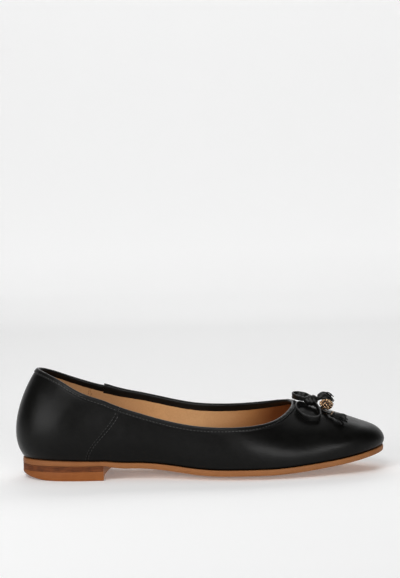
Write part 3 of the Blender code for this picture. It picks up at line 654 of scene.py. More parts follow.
# Near cap: share of its length and of its radius. The gilt ring lies between two of its shares.
NEAR_CAP_FORM = [
    # along, radius
    (0.0, 0.0),
    (0.0, 0.55),
    (0.06, 0.74),
    (0.16, 0.90),
    (0.26, 0.98),
    (0.34, 1.0),
    (0.40, 0.94),
    (0.46, 0.93),
    (0.52, 0.99),
    (0.60, 1.0),
    (0.66, 0.94),
    (0.72, 0.93),
    (0.78, 0.99),
    (0.90, 1.0),
    (0.98, 0.94),
    (1.0, 0.80),
    (1.0, 0.0),
]
NEAR_CAP_RING = (0.45, 0.62)

# Folds of the knot: place of each groove along it, its half width and slant.
KNOT_FOLDS = (-0.0017, 0.0012)
KNOT_FOLD_WIDTH = 0.00042
KNOT_SLANT = 0.0007

# Painted shade along the shoe, multiplied into the colour of some tan leathers: place in metres from its
# middle, then the colour's share there.
# Lining: painted shade at both ends, darkest toward the toe where the vamp covers the inside, and lighter
# shade at the heel under the near collar.
LINING_PAINTED_SHADE = [
    (-0.110, (0.80, 0.80, 0.86)),
    (-0.060, (0.74, 0.69, 0.66)),
    (-0.030, (0.95, 0.90, 0.84)),
    (0.000, (0.95, 0.94, 0.92)),
    (0.020, (0.80, 0.75, 0.70)),
    (0.036, (0.62, 0.50, 0.40)),
    (0.052, (0.32, 0.18, 0.11)),
]
# Sole edge: painted shade toward the heel, which evens out the stronger light from the left there.
EDGE_PAINTED_SHADE = [
    (-0.122, (0.76, 0.70, 0.68)),
    (-0.080, (0.92, 0.86, 0.84)),
    (-0.050, (0.98, 0.96, 0.94)),
    (0.122, (1.0, 1.0, 1.0)),
]
# Heel's top layer: painted shade toward the back, which evens out the stronger light from the left there.
HEEL_PAINTED_SHADE = [
    (-0.122, (0.76, 0.72, 0.70)),
    (-0.090, (0.90, 0.84, 0.80)),
    (-0.060, (1.0, 0.98, 0.96)),
]

# Leathers and threads
BLACK_LEATHERS = [
    # name, grain, roughness from and to, specular
    ("upper_black_leather", 1.0, (0.31, 0.38), 0.12),
    ("binding_black_leather", 0.8, (0.30, 0.38), 0.20),
    ("bow_black_leather", 1.3, (0.36, 0.46), 0.30),
]
EVEN = (1.0, 1.0, 1.0)
EDGE_FIBRE = (0.25, 0.25, 3.0)
STACK_FIBRE = (0.12, 0.12, 2.6)
TAN_SPECULAR = 0.14
TAN_LEATHERS = [
    # name, light, dark, roughness, scale, fibre, painted shade
    ("lining_tan_leather", (0.62, 0.36, 0.17), (0.54, 0.30, 0.135), 0.6, 1.0, EVEN, LINING_PAINTED_SHADE),
    ("sock_tan_leather", (0.64, 0.375, 0.185), (0.57, 0.325, 0.155), 0.58, 1.0, EVEN, ()),
    ("edge_tan_leather", (0.26, 0.107, 0.037), (0.21, 0.080, 0.026), 0.5, 1.0, EDGE_FIBRE, EDGE_PAINTED_SHADE),
    ("heel_tan_leather", (0.25, 0.085, 0.021), (0.20, 0.062, 0.014), 0.5, 1.0, EDGE_FIBRE, HEEL_PAINTED_SHADE),
    ("bottom_tan_leather", (0.50, 0.24, 0.10), (0.42, 0.18, 0.072), 0.55, 0.6, EVEN, ()),
    ("stack_brown_leather", (0.15, 0.044, 0.013), (0.045, 0.012, 0.0035), 0.6, 2.0, STACK_FIBRE, ()),
    ("breast_tan_leather", (0.50, 0.24, 0.11), (0.42, 0.18, 0.075), 0.55, 1.0, EVEN, ()),
]
THREADS = [
    # name, colour
    ("dark_thread", (0.033, 0.033, 0.031)),
    ("black_thread", (0.012, 0.012, 0.011)),
    ("tan_thread", (0.13, 0.055, 0.022)),
]

# Lights: place, the point they face, size in metres and power in watts.
LIGHTS = [
    # name, place, target, size, power
    ("left_softbox", (-1.06, -0.92, 0.36), (-0.1, 0.0, 0.03), (0.92, 0.70), 11.0),
    ("low_softbox", (0.65, -1.6, 0.32), (0.05, 0.0, 0.03), (0.96, 0.26), 13.3),
    ("key_softbox", (-0.45, -1.25, 1.55), (0.0, 0.0, 0.03), (0.9, 0.9), 14.0),
    ("top_softbox", (0.0, 0.2, 2.0), (0.0, 0.0, 0.03), (1.6, 1.0), 7.0),
    ("back_softbox", (0.15, 1.5, 1.3), (0.0, 0.0, 0.03), (1.5, 0.8), 8.2),
]
WORLD_LIGHT = 0.02
WHITE = (1.0, 1.0, 1.0, 1.0)

# Floor: a level sweep that turns up behind the shoe, with its tone and glow from front to back.
SWEEP_HALF_WIDTH = 5.0
SWEEP_FRONT = -3.0
SWEEP_BEND = 2.2
SWEEP_RADIUS = 1.2
SWEEP_TOP = 5.0
SWEEP_STEPS = 24
FLOOR_FRONT = 0.75
FLOOR_BACK = 0.93
FLOOR_START = -0.45
FLOOR_END = -0.08
FLOOR_GLOW = 0.10
WALL_GLOW = 0.55
WALL_START = 1.2
WALL_END = 2.6

# Camera: the frame's height and the row of the shoe's middle in pixels, and a pixel's size there.
FRAME_HEIGHT = 578.0
SHOE_ROW = 427.5
PIXEL_SIZE = 0.6766e-3
FOCAL_PIXELS = 1471.5
SENSOR = 36.0
CAMERA_AIM = 0.03
CAMERA_RISE = math.radians(8.5)
CAMERA_ROLL = math.radians(1.3)
CAMERA_DISTANCE = 1.0
CAMERA_NUDGE_RIGHT = math.radians(0.12)
CAMERA_NUDGE_UP = math.radians(-0.025)


# Meshes
def keep(piece, nodes=()):
    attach(piece, "root")
    if nodes:
        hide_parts(*nodes)
    return piece


def linked(name, corners, faces, materials, indices=None, sharp=50.0, shift=True):
    mesh = bpy.data.meshes.new(name)
    corners = np.asarray(corners, float) + (SHIFT if shift else 0.0)
    mesh.from_pydata(corners.tolist(), [], faces)
    for material in materials:
        mesh.materials.append(material)
    if indices is not None:
        mesh.polygons.foreach_set("material_index", np.asarray(indices, np.int32))
    bm = bmesh.new()
    bm.from_mesh(mesh)
    bmesh.ops.remove_doubles(bm, verts=bm.verts, dist=1e-6)
    bmesh.ops.recalc_face_normals(bm, faces=bm.faces)
    bm.to_mesh(mesh)
    bm.free()
    mesh.shade_smooth()
    mesh.set_sharp_from_angle(angle=math.radians(sharp))
    piece = bpy.data.objects.new(name, mesh)
    bpy.context.scene.collection.objects.link(piece)
    return piece


def ring_quads(count, size, wrap=False):
    """Corners of the quads between rings of equal size."""
    low = np.arange(count if wrap else count - 1)[:, None] * size
    high = (low + size) % (count * size)
    near = np.arange(size)[None, :]
    after = (near + 1) % size
    return np.stack([low + near, low + after, high + after, high + near], axis=-1).reshape(-1, 4)


def body(name, rings, materials, wrap=False, caps=False, pick=None, sharp=50.0):
    """Closed mesh from rings of equal size; pick gives each quad's material from its middle."""
    rings = np.asarray(rings, float)
    count, size = rings.shape[:2]
    quads = ring_quads(count, size, wrap)
    corners = rings.reshape(-1, 3)
    faces = quads.tolist()
    indices = None
    if pick is not None:
        indices = list(pick(corners[quads].mean(axis=1)))
    if caps:
        faces += [list(range(size)), list(range((count - 1) * size, count * size))]
    return linked(name, corners, faces, materials, indices, sharp)


def many(name, bodies, materials, sharp=50.0):
    """One mesh from many small ring bodies with closed ends."""
    faces = []
    first = 0
    for rings in bodies:
        count, size = rings.shape[:2]
        faces += (ring_quads(count, size) + first).tolist()
        faces.append(list(range(first, first + size)))
        first += count * size
        faces.append(list(range(first - size, first)))
    corners = np.concatenate([rings.reshape(-1, 3) for rings in bodies])
    return linked(name, corners, faces, materials, None, sharp)


# Materials
def shader_of(name, colour, roughness, specular=0.5, metallic=0.0):
    material = bpy.data.materials.new(name)
    material.use_nodes = True
    shader = material.node_tree.nodes["Principled BSDF"]
    shader.inputs["Base Color"].default_value = (*colour, 1.0)
    shader.inputs["Roughness"].default_value = roughness
    shader.inputs["Specular IOR Level"].default_value = specular
    shader.inputs["Metallic"].default_value = metallic
    return material, shader


def put(material, kind, **settings):
    node = material.node_tree.nodes.new(kind)
    for key, value in settings.items():
        if key in node.inputs:
            node.inputs[key].default_value = value
        else:
            setattr(node, key, value)
    return node


def join(material, start, out, end, into):
    material.node_tree.links.new(start.outputs[out], end.inputs[into])


def place_of(material, stretch=EVEN):
    coordinates = put(material, "ShaderNodeTexCoord")
    mapping = put(material, "ShaderNodeMapping", Scale=stretch)
    join(material, coordinates, "Object", mapping, "Vector")
    return mapping


def noise(material, where, scale, detail=3.0, roughness=0.5):
    node = put(material, "ShaderNodeTexNoise", Scale=scale, Detail=detail, Roughness=roughness)
    join(material, where, "Vector", node, "Vector")
    return node


def cells(material, where, scale):
    node = put(material, "ShaderNodeTexVoronoi", feature="SMOOTH_F1", Scale=scale)
    join(material, where, "Vector", node, "Vector")
    return node


def ramp(material, source, out, stops):
    node = put(material, "ShaderNodeValToRGB")
    band = node.color_ramp
    while len(band.elements) < len(stops):
        band.elements.new(0.5)
    for element, (place, colour) in zip(band.elements, stops):
        element.position = place
        element.color = (*colour, 1.0)
    join(material, source, out, node, "Fac")
    return node


def grey(value):
    return (value, value, value)


def ranged(material, where, axis, start, end, low=0.0, high=1.0):
    """Runs from low to high as the place along an axis goes from start to end."""
    parts = put(material, "ShaderNodeSeparateXYZ")
    join(material, where, "Vector", parts, "Vector")
    node = put(material, "ShaderNodeMapRange")
    limits = {"From Min": start, "From Max": end, "To Min": low, "To Max": high}
    for key, value in limits.items():
        node.inputs[key].default_value = value
    join(material, parts, axis, node, "Value")
    return node


def mixed(material, kind, blend, factor, first, second):
    """Mix of two sources, each given as its node and output, with its own output."""
    low, high, result = {"FLOAT": (2, 3, 0), "RGBA": (6, 7, 2)}[kind]
    node = put(material, "ShaderNodeMix", data_type=kind, blend_type=blend, Factor=factor)
    join(material, *first, node, low)
    join(material, *second, node, high)
    return node, result


def bump(material, shader, heights):
    """Bumps in a chain: source, output, strength and depth in metres."""
    before = None
    for source, out, strength, depth in heights:
        node = put(material, "ShaderNodeBump", Strength=strength, Distance=depth)
        join(material, source, out, node, "Height")
        if before is not None:
            join(material, before, "Normal", node, "Normal")
        before = node
    join(material, before, "Normal", shader, "Normal")


def black_leather(name, grain, roughness, specular):
    material, shader = shader_of(name, (0.0026, 0.0026, 0.0024), 0.4, specular)
    where = place_of(material)
    pebble = cells(material, where, 1500.0)
    pores = noise(material, where, 5200.0, 2.0, 0.6)
    soft = noise(material, where, 75.0, 2.0, 0.45)
    cloud = noise(material, where, 210.0, 4.0, 0.6)
    tints = [(0.25, (0.0021, 0.0021, 0.0019)), (0.75, (0.0034, 0.0033, 0.0030))]
    tint = ramp(material, cloud, "Fac", tints)
    join(material, tint, "Color", shader, "Base Color")
    gloss = ramp(material, cloud, "Fac", [(0.2, grey(roughness[0])), (0.8, grey(roughness[1]))])
    join(material, gloss, "Color", shader, "Roughness")
    heights = [
        (soft, "Fac", 0.35, 0.0006),
        (pebble, "Distance", 0.22 * grain, 0.00022),
        (pores, "Fac", 0.16 * grain, 0.00008),
    ]
    bump(material, shader, heights)
    return material


def tan_leather(name, light, dark, roughness, scale, fibre, painted_shade):
    """Tan leather; the last argument is painted shade: places along the shoe and the colour's share at
    each.
    """
    material, shader = shader_of(name, light, roughness, TAN_SPECULAR)
    where = place_of(material)
    mottle = noise(material, where, 120.0 * scale, 5.0, 0.6)
    threads = noise(material, place_of(material, fibre), 900.0, 4.0, 0.65)
    pores = cells(material, where, 2600.0)
    cloud = mixed(material, "FLOAT", "MIX", 0.55, (mottle, "Fac"), (threads, "Fac"))
    tint = (ramp(material, *cloud, [(0.34, dark), (0.64, light)]), "Color")
    # Painted shade: the colour is multiplied by shares that change along the shoe.
    if painted_shade:
        start = painted_shade[0][0]
        end = painted_shade[-1][0]
        along = ranged(material, where, "X", start, end)
        stops = [((x - start) / (end - start), colour) for x, colour in painted_shade]
        shares = ramp(material, along, "Result", stops)
        tint = mixed(material, "RGBA", "MULTIPLY", 1.0, tint, (shares, "Color"))
    join(material, *tint, shader, "Base Color")
    polish = [(0.3, grey(roughness - 0.06)), (0.7, grey(roughness + 0.08))]
    gloss = ramp(material, mottle, "Fac", polish)
    join(material, gloss, "Color", shader, "Roughness")
    bump(material, shader, [(threads, "Fac", 0.25, 0.00016), (pores, "Distance", 0.15, 0.0001)])
    return material


def thread_material(name, colour):
    material, shader = shader_of(name, colour, 0.5, 0.4)
    twist = noise(material, place_of(material), 4200.0, 2.0)
    tints = [(0.3, [c * 0.7 for c in colour]), (0.7, [c * 1.25 for c in colour])]
    tint = ramp(material, twist, "Fac", tints)
    join(material, tint, "Color", shader, "Base Color")
    bump(material, shader, [(twist, "Fac", 0.4, 0.00008)])
    return material


def gilt_material(name):
    material, shader = shader_of(name, (0.60, 0.38, 0.19), 0.20, 0.5, 1.0)
    rubbed = noise(material, place_of(material), 900.0, 3.0)
    tint = ramp(material, rubbed, "Fac", [(0.38, (0.20, 0.10, 0.045)), (0.58, (0.90, 0.64, 0.40))])
    join(material, tint, "Color", shader, "Base Color")
    bump(material, shader, [(rubbed, "Fac", 0.3, 0.0002)])
    return material


# Upper
def spaced_angles(seams, field, steps):
    """Ribs round the shoe, closer together beside the seams; steps are in millimetres."""
    plain = np.arange(SHELL_COLUMNS) * 2 * math.pi / SHELL_COLUMNS
    steps = np.array(steps) / 1000.0
    steps = np.concatenate([-steps, [0.0], steps])
    for seam in seams:
        plain = plain[np.abs(plain - seam) > field * TURN_PER_LENGTH]
        plain = np.append(plain, seam + steps * TURN_PER_LENGTH)
    return np.sort(plain)


def face_of(angles, rows):
    return rib_points(angles, rows), face_normals(angles, rows)


def travelled_along(points):
    """Distance along a line at each of its points."""
    steps = np.linalg.norm(np.diff(points, axis=0), axis=1)
    return np.concatenate([[0.0], np.cumsum(steps)])


def groove(away, depth, width):
    """Depth of a soft groove at each distance from its middle."""
    return depth * np.exp(-((away / width) ** 2))


def dent_relief(points):
    relief = np.zeros(points.shape[:-1])
    for x, side, z, length, width, lean, depth in DENTS:
        ahead = points[..., 0] * 1000.0 - x
        rise = points[..., 2] * 1000.0 - z
        lean = math.radians(lean)
        along = rise * math.cos(lean) + ahead * math.sin(lean)
        across = ahead * math.cos(lean) - rise * math.sin(lean)
        near = np.sign(points[..., 1]) == side
        hollow = groove(across, 1.0, width)
        ridge = groove(across - 1.9 * width, 0.55, width)
        relief -= np.where(near, groove(along, depth, length) * (hollow - ridge), 0.0)
    return relief / 1000.0


def seam_distance(angles):
    """Signed distance of each rib from the nearest side seam, ahead of it positive."""
    outer, inner = seam_angles()
    to_outer = (angles - outer) / TURN_PER_LENGTH
    to_inner = (inner - angles) / TURN_PER_LENGTH
    return np.where(np.abs(to_outer) < np.abs(to_inner), to_outer, to_inner)


def shell_relief(angles, points, total, rows):
    """Height of the leather's own detail over the plain form."""
    away = seam_distance(angles)[:, None]
    depth = total[:, None] - rows
    relief = np.where(away < 0, SEAM_LAP[0] * np.exp(away / SEAM_LAP[1]), 0.0)
    relief = relief - groove(away, *SEAM_GROOVE)
    relief = relief - groove(np.abs(away) - SEAM_ROW, *STITCH_DENT)
    relief = relief - groove(depth - BINDING_DEPTH - BINDING_DENT_DROP, *BINDING_DENT)
    relief = relief - groove(rows, *FOOT_TUCK)
    return relief + dent_relief(points)


def shell_rows(total, depth, count):
    """Distances up each rib from the foot to a depth under the crest, closer at both ends."""
    share = np.linspace(0.0, 1.0, count)
    share = share - 0.09 * np.sin(2 * math.pi * share)
    return (total - depth)[:, None] * share[None, :]


def wall_rings(front, back):
    """Rings of a thin wall: up its front and down every third row of its back."""
    rings = [front[:, row] for row in range(front.shape[1])]
    return rings + [back[:, row] for row in range(0, back.shape[1], 3)][::-1]


def make_shell(leather):
    angles = spaced_angles(seam_angles(), SEAM_FIELD, SEAM_STEPS)
    kept = {}

    def rows(total):
        kept["total"] = total
        kept["rows"] = shell_rows(total, BINDING_DEPTH - SHELL_TUCK, SHELL_ROWS)
        return kept["rows"]

    outer, normals = face_of(angles, rows)
    relief = shell_relief(angles, outer, kept["total"], kept["rows"])
    inner = outer - normals * SHELL_WALL
    inner[:, 0, 2] = np.maximum(inner[:, 0, 2], outer[:, 0, 2])
    rings = wall_rings(outer + normals * relief[..., None], inner)
    return keep(body("upper_leather", rings, [leather], wrap=True), ["upper"])


def inner_band(angles):
    """How far down the inside the binding reaches at each rib."""
    outer, inner = seam_angles()
    front = (angles > outer) & (angles < inner)
    return np.where(front, INNER_BAND_FRONT, INNER_BAND_BACK)


def lining_seams():
    first = angle_of(LINING_SEAM)
    return [first, 2 * math.pi - first]


def make_lining(leather):
    angles = spaced_angles(lining_seams(), LINING_FIELD, LINING_STEPS)

    def rows(total):
        return shell_rows(total, inner_band(angles) - LINING_TUCK, LINING_ROWS)

    face, normals = face_of(angles, rows)
    relief = np.zeros(len(angles))
    for seam in lining_seams():
        relief = relief - groove((angles - seam) / TURN_PER_LENGTH, *LINING_GROOVE)
    outside = face - normals * (WALL - LINING_BACK)
    inside = face - normals * (WALL + LINING_FACE + relief)[:, None, None]
    outside[:, 0] = inside[:, 0]
    rings = wall_rings(inside, outside)
    return keep(body("lining", rings, [leather], wrap=True))


def binding_form(inner_depth):
    """Section of the collar binding: depth under the crest in metres, and place across it."""
    rounded = [(depth, -across) for depth, across in BINDING_EDGE[-2:4:-1]]
    fold = [(inner_depth / BINDING_DEPTH + past, across) for past, across in BINDING_FOLD]
    depths, across = np.array(BINDING_EDGE + rounded + fold).T
    return depths * BINDING_DEPTH, across


def make_binding(name, node, angles, lift, inner_depth, leather):
    depths, across = binding_form(inner_depth)

    def rows(total):
        return total[:, None] - depths[None, :]

    points, normals = face_of(angles, rows)
    reach = travelled_along(points[:, BINDING_POINT])
    half = WALL / 2 + BINDING_SWELL
    for height, length, start in BINDING_WAVES:
        half = half + height * np.sin(reach * 2 * math.pi / length + start)
    spread = half[:, None] * across[None, :] - WALL / 2
    raised = lift[:, None] * np.clip(1.0 - depths / BINDING_DEPTH, 0.0, 1.0)[None, :]
    points = points + normals * spread[..., None] + raised[..., None] * UP
    return keep(body(name, points, [leather], caps=True), [node])


def make_bindings(leather):
    """Back binding and front binding, which meet at the side seams."""
    outer, inner = seam_angles()
    half_gap = BINDING_GAP * TURN_PER_LENGTH
    back = np.linspace(inner - 2 * math.pi + half_gap, outer - half_gap, BACK_COLUMNS)
    front = np.linspace(outer + half_gap, inner - half_gap, FRONT_COLUMNS)
    make_binding(
        "collar_binding_back_leather",
        "collar_binding_back",
        back,
        0.0 * back,
        INNER_BAND_BACK,
        leather,
    )
    return make_binding(
        "collar_binding_front_leather",
        "collar_binding_front",
        front,
        binding_step(front),
        INNER_BAND_FRONT,
        leather,
    )


# Threads
def read_along(travelled, values, at):
    return np.stack([np.interp(at, travelled, values[:, axis]) for axis in range(3)], axis=-1)


def stitch_bodies(points, normals):
    """Separate stitches along a line: each dives in at both ends."""
    travelled = travelled_along(points)
    bodies = []
    share = np.array([0.0, 0.12, 0.32, 0.68, 0.88, 1.0])
    lift = np.array([-1.0, -0.2, 0.55, 0.55, -0.2, -1.0]) * THREAD
    size = np.array([0.45, 0.85, 1.0, 1.0, 0.85, 0.45]) * THREAD
    turn = np.arange(6) * math.pi / 3
    for k in range(int(travelled[-1] / (STITCH + STITCH_SPACE))):
        at = k * (STITCH + STITCH_SPACE) + share * STITCH
        middle = read_along(travelled, points, at)
        up = unit(read_along(travelled, normals, at))
        side = np.cross(unit(np.gradient(middle, axis=0)), up)
        middle = middle + up * lift[:, None]
        ring = np.cos(turn)[None, :, None] * side[:, None] + np.sin(turn)[None, :, None] * up[:, None]
        bodies.append(middle[:, None] + ring * size[:, None, None])
    return bodies


def rib_line(angles, depth, out):
    """Line along the upper at a depth under the crest, out from its face."""
    points, normals = face_of(angles, lambda total: total[:, None] - depth)
    return (points + normals * out)[:, 0], normals[:, 0]


def rib_climb(angle, low, depth, out):
    """Line up one rib, from a height over the foot to a depth under the crest."""

    def rows(total):
        return low + (total - depth - low)[:, None] * np.linspace(0.0, 1.0, CLIMB_STEPS)[None, :]

    points, normals = face_of(np.array([angle]), rows)
    return (points + normals * out)[0], normals[0]


def make_threads(dark, black, tan):
    outer, inner = seam_angles()
    end = THREAD_END * TURN_PER_LENGTH
    back = np.linspace(inner - 2 * math.pi + end, outer - end, ROW_BACK_STEPS)
    front = np.linspace(outer + end, inner - end, ROW_FRONT_STEPS)
    bodies = []
    for angles in (back, front):
        points, normals = rib_line(angles, BINDING_ROW, BINDING_SWELL * THREAD_SHARE)
        raised = binding_step(angles) * (1.0 - BINDING_ROW / BINDING_DEPTH)
        bodies += stitch_bodies(points + raised[:, None] * UP, normals)
    # Black thread: the whole row behind each side seam, and the lower share of the row ahead of it as
    # painted shade.
    black_and_shaded_stitches = []
    for seam, side in ((outer, 1.0), (inner, -1.0)):
        for row in (-SEAM_ROW, SEAM_ROW):
            behind = row * side < 0
            out = SEAM_PROUD if behind else SEAM_SUNK
            angle = seam + row * TURN_PER_LENGTH
            stitches = stitch_bodies(*rib_climb(angle, SEAM_FOOT, BINDING_DEPTH + BINDING_DENT_DROP, out))
            hidden = len(stitches) if behind else int(SEAM_SHADED_SHARE * len(stitches))
            black_and_shaded_stitches += stitches[:hidden]
            bodies += stitches[hidden:]
    keep(many("collar_and_seam_threads", bodies, [dark]))
    keep(many("black_and_shaded_seam_threads", black_and_shaded_stitches, [black]))
    bodies = []
    for seam in lining_seams():
        for row in (-LINING_SEAM_ROW, LINING_SEAM_ROW):
            angle = seam + row * TURN_PER_LENGTH
            points, normals = rib_climb(angle, LINING_SEAM_FOOT, INNER_BAND_BACK, -WALL - LINING_FACE)
            bodies += stitch_bodies(points, -normals)
    keep(many("lining_threads", bodies, [tan]))


# Sole
def make_sole(edge, bottom):
    angles = np.arange(SOLE_COLUMNS) * 2 * math.pi / SOLE_COLUMNS

    def low(x, share):
        channel = groove(share - CHANNEL_SHARE, CHANNEL_DEPTH, CHANNEL_WIDTH)
        return underside(x, share) + channel * (x > HEEL_LENGTH)

    def rounded(turn, face, way):
        turn = math.radians(turn)
        inset = EDGE_ROUND * (1 - math.sin(turn))
        lift = way * EDGE_ROUND * (1 - math.cos(turn))
        return level_ring(angles, 1.0, inset, lambda x, s: face(x, s) + lift)

    def side(x, share):
        start = underside(x, 1.0) + EDGE_ROUND
        return start + share * (sole_top(x, 1.0) - EDGE_ROUND - start)

    rings = [level_ring(angles, share, EDGE_ROUND, low) for share in SOLE_SHARES]
    rings += [rounded(turn, underside, 1.0) for turn in (30.0, 60.0)]
    for share in SOLE_SIDE:
        bulge = -SOLE_BULGE * math.sin(math.pi * share)
        rings.append(level_ring(angles, 1.0, bulge, lambda x, s: side(x, share)))
    rings += [rounded(turn, sole_top, -1.0) for turn in (60.0, 30.0)]
    top_shares = (1.0, 0.9, 0.68, FLAT_SHARE, 0.0)
    rings += [level_ring(angles, share, EDGE_ROUND, sole_top) for share in top_shares]

    def pick(middles):
        return np.where(np.arange(len(middles)) // SOLE_COLUMNS < len(SOLE_SHARES) - 1, 1, 0)

    sole = body("outsole_leather", rings, [edge, bottom], pick=pick, sharp=35.0)
    return keep(sole, ["outsole"])


def fine_heel_plan(inset):
    width = 2 * OUTLINE[5][1] * BALL_WIDTH
    outer_corner = angle_of(HEEL_LENGTH / SOLE_LENGTH)
    inner_corner = angle_of((HEEL_LENGTH + math.tan(BREAST_TURN) * width) / SOLE_LENGTH)
    curve = outline(np.linspace(outer_corner, -inner_corner, HEEL_ARC), inset)
    across = np.linspace(0.0, 1.0, BREAST_COLUMNS)[1:-1, None]
    breast = curve[-1] + (curve[0] - curve[-1]) * across
    breast[:, 0] -= BREAST_HOLLOW * np.sin(math.pi * across[:, 0]) + inset
    return np.concatenate([curve, breast])


def heel_body(name, node, low, high, bottom_round, grooves, materials):
    centre = np.array([HEEL_LENGTH / 2, 0.0, 0.0])

    def ring(share, inset, height):
        points = centre + share * (fine_heel_plan(inset) - centre)
        points[:, 2] = height(points[:, 0])
        return points

    def side(x, share):
        start = low(x) + bottom_round
        return start + share * (high(x) - start)

    rings = [ring(share, bottom_round, low) for share in HEEL_SHARES]
    if bottom_round:
        for turn in np.radians([30.0, 60.0, 90.0]):
            lift = bottom_round * (1 - math.cos(turn))
            rings.append(ring(1.0, bottom_round * (1 - math.sin(turn)), lambda x: low(x) + lift))
    for share, inset in grooves:
        rings.append(ring(1.0, inset, lambda x: side(x, share)))
    rings += [ring(share, 0.0, high) for share in HEEL_SHARES[::-1]]
    size = len(rings[0])

    def pick(middles):
        place = np.arange(len(middles))
        upright = place // size >= len(HEEL_SHARES) - 1
        return np.where(upright & (place % size >= HEEL_ARC - 1), 1, 0)

    return keep(body(name, rings, materials, pick=pick, sharp=35.0), [node])


def make_heel(edge, stack, breast):
    heel_body(
        "heel_top_layer",
        "heel_top_piece",
        top_piece_floor,
        top_piece_ceiling,
        EDGE_ROUND,
        TOP_PIECE_GROOVES,
        [edge, breast],
    )
    grooves = [(0.0, STACK_FOOT)]
    for layer in range(LAYERS):
        grooves += [((layer + 0.12) / LAYERS, 0.0), ((layer + 0.88) / LAYERS, 0.0)]
        grooves.append(((layer + 1.0) / LAYERS, LAYER_GROOVE))
    heel_body(
        "heel_stack",
        "heel_lift",
        top_piece_ceiling,
        underside,
        0.0,
        grooves,
        [stack, breast],
    )


def make_sock(leather):
    angles = np.arange(SOLE_COLUMNS) * 2 * math.pi / SOLE_COLUMNS
    inset = SOLE_MARGIN + WALL + GAP

    def low(x, share):
        return sole_top(x, share) + GAP

    def high(x, share):
        pad = groove(x / SOLE_LENGTH - 0.13, 0.0007, 0.10) * (1 - share**4)
        return low(x, share) + INSOLE_THICK + pad - groove(share - 0.94, 0.0003, 0.02)

    rings = [level_ring(angles, share, inset, low) for share in (0.0, 0.5, 1.0)]
    rings.append(level_ring(angles, 1.0, inset, lambda x, s: high(x, s) - SOCK_ROUND))
    rings += [level_ring(angles, share, inset + SOCK_INSET, high) for share in SOCK_SHARES]
    return keep(body("insole_sock", rings, [leather]), ["insole"])


# Bow
def tree_of(pieces):
    """Search tree of the pieces that the bow lies on, in the shoe's own places."""
    corners = []
    faces = []
    for piece in pieces:
        first = len(corners)
        corners += [Vector(np.array(vertex.co) - SHIFT) for vertex in piece.data.vertices]
        faces += [[first + corner for corner in face.vertices] for face in piece.data.polygons]
    return BVHTree.FromPolygons(corners, faces)


def vamp_height(tree, x, y, missing):
    hit = tree.ray_cast(Vector((x, y, 1.0)), Vector((0.0, 0.0, -1.0)))[0]
    return missing if hit is None else hit.z


def bow_place(tree, ahead, inner, over):
    x = COLLAR_SETBACK + COLLAR_LENGTH + BOW_SETBACK * (1.0 + ahead)
    y = BOW_SETBACK * inner
    return np.array([x, y, vamp_height(tree, x, y, 0.0) + over * STRING_WIDTH])


def lifted(tree, point, clearance):
    """The point raised until it stands clear of the vamp by clearance."""
    point = np.array(point)
    for _ in range(LIFT_STEPS):
        distance = tree.find_nearest(Vector(point))[3]
        point[2] += max(clearance - distance, 0.0)
    return point


def knot_middle(tree):
    x, y, z = bow_place(tree, 0.0, 0.0, 0.0)
    return np.array([x, y, z + GAP + KNOT_HEIGHT / 2])


def clear_of_knot(points, middle, extra):
    reach = np.array([KNOT_LENGTH, KNOT_WIDTH, KNOT_HEIGHT]) / 2 + extra
    return points[np.linalg.norm((points - middle) / reach, axis=1) > 1.0]


def through(points, count):
    points = np.array(points)
    travelled = travelled_along(points)
    at = np.linspace(0.0, travelled[-1], count)
    return np.stack([gentle(travelled, points[:, axis])(at) for axis in range(3)], axis=-1)


def smooth_line(points, rounds):
    for _ in range(rounds):
        points[1:-1] = 0.25 * points[:-2] + 0.5 * points[1:-1] + 0.25 * points[2:]
    return points


def string_rings(path, width_way, width, gather=0.0):
    """Sections of a folded leather string: full at both edges, with a crease along its middle.

    The share gather of its width is lost at both ends, where the knot draws it in."""
    tangent = unit(np.gradient(path, axis=0))
    across = unit(width_way - (width_way * tangent).sum(axis=1, keepdims=True) * tangent)
    up = np.cross(tangent, across)
    turn = np.arange(20) * 2 * math.pi / 20
    wide = np.sign(np.cos(turn)) * np.abs(np.cos(turn)) ** 0.6 * width / 2
    high = np.sign(np.sin(turn)) * np.abs(np.sin(turn)) ** 0.6 * STRING_THICK / 2
    high = high * (1.0 - groove(wide, 2 * CREASE, CREASE * width))
    share = np.linspace(0.0, 1.0, len(path))
    full = 1.0 - gather * (1.0 - np.sin(math.pi * share) ** 0.5)
    wide = full[:, None, None] * wide[None, :, None]
    return path[:, None] + wide * across[:, None] + high[None, :, None] * up[:, None]


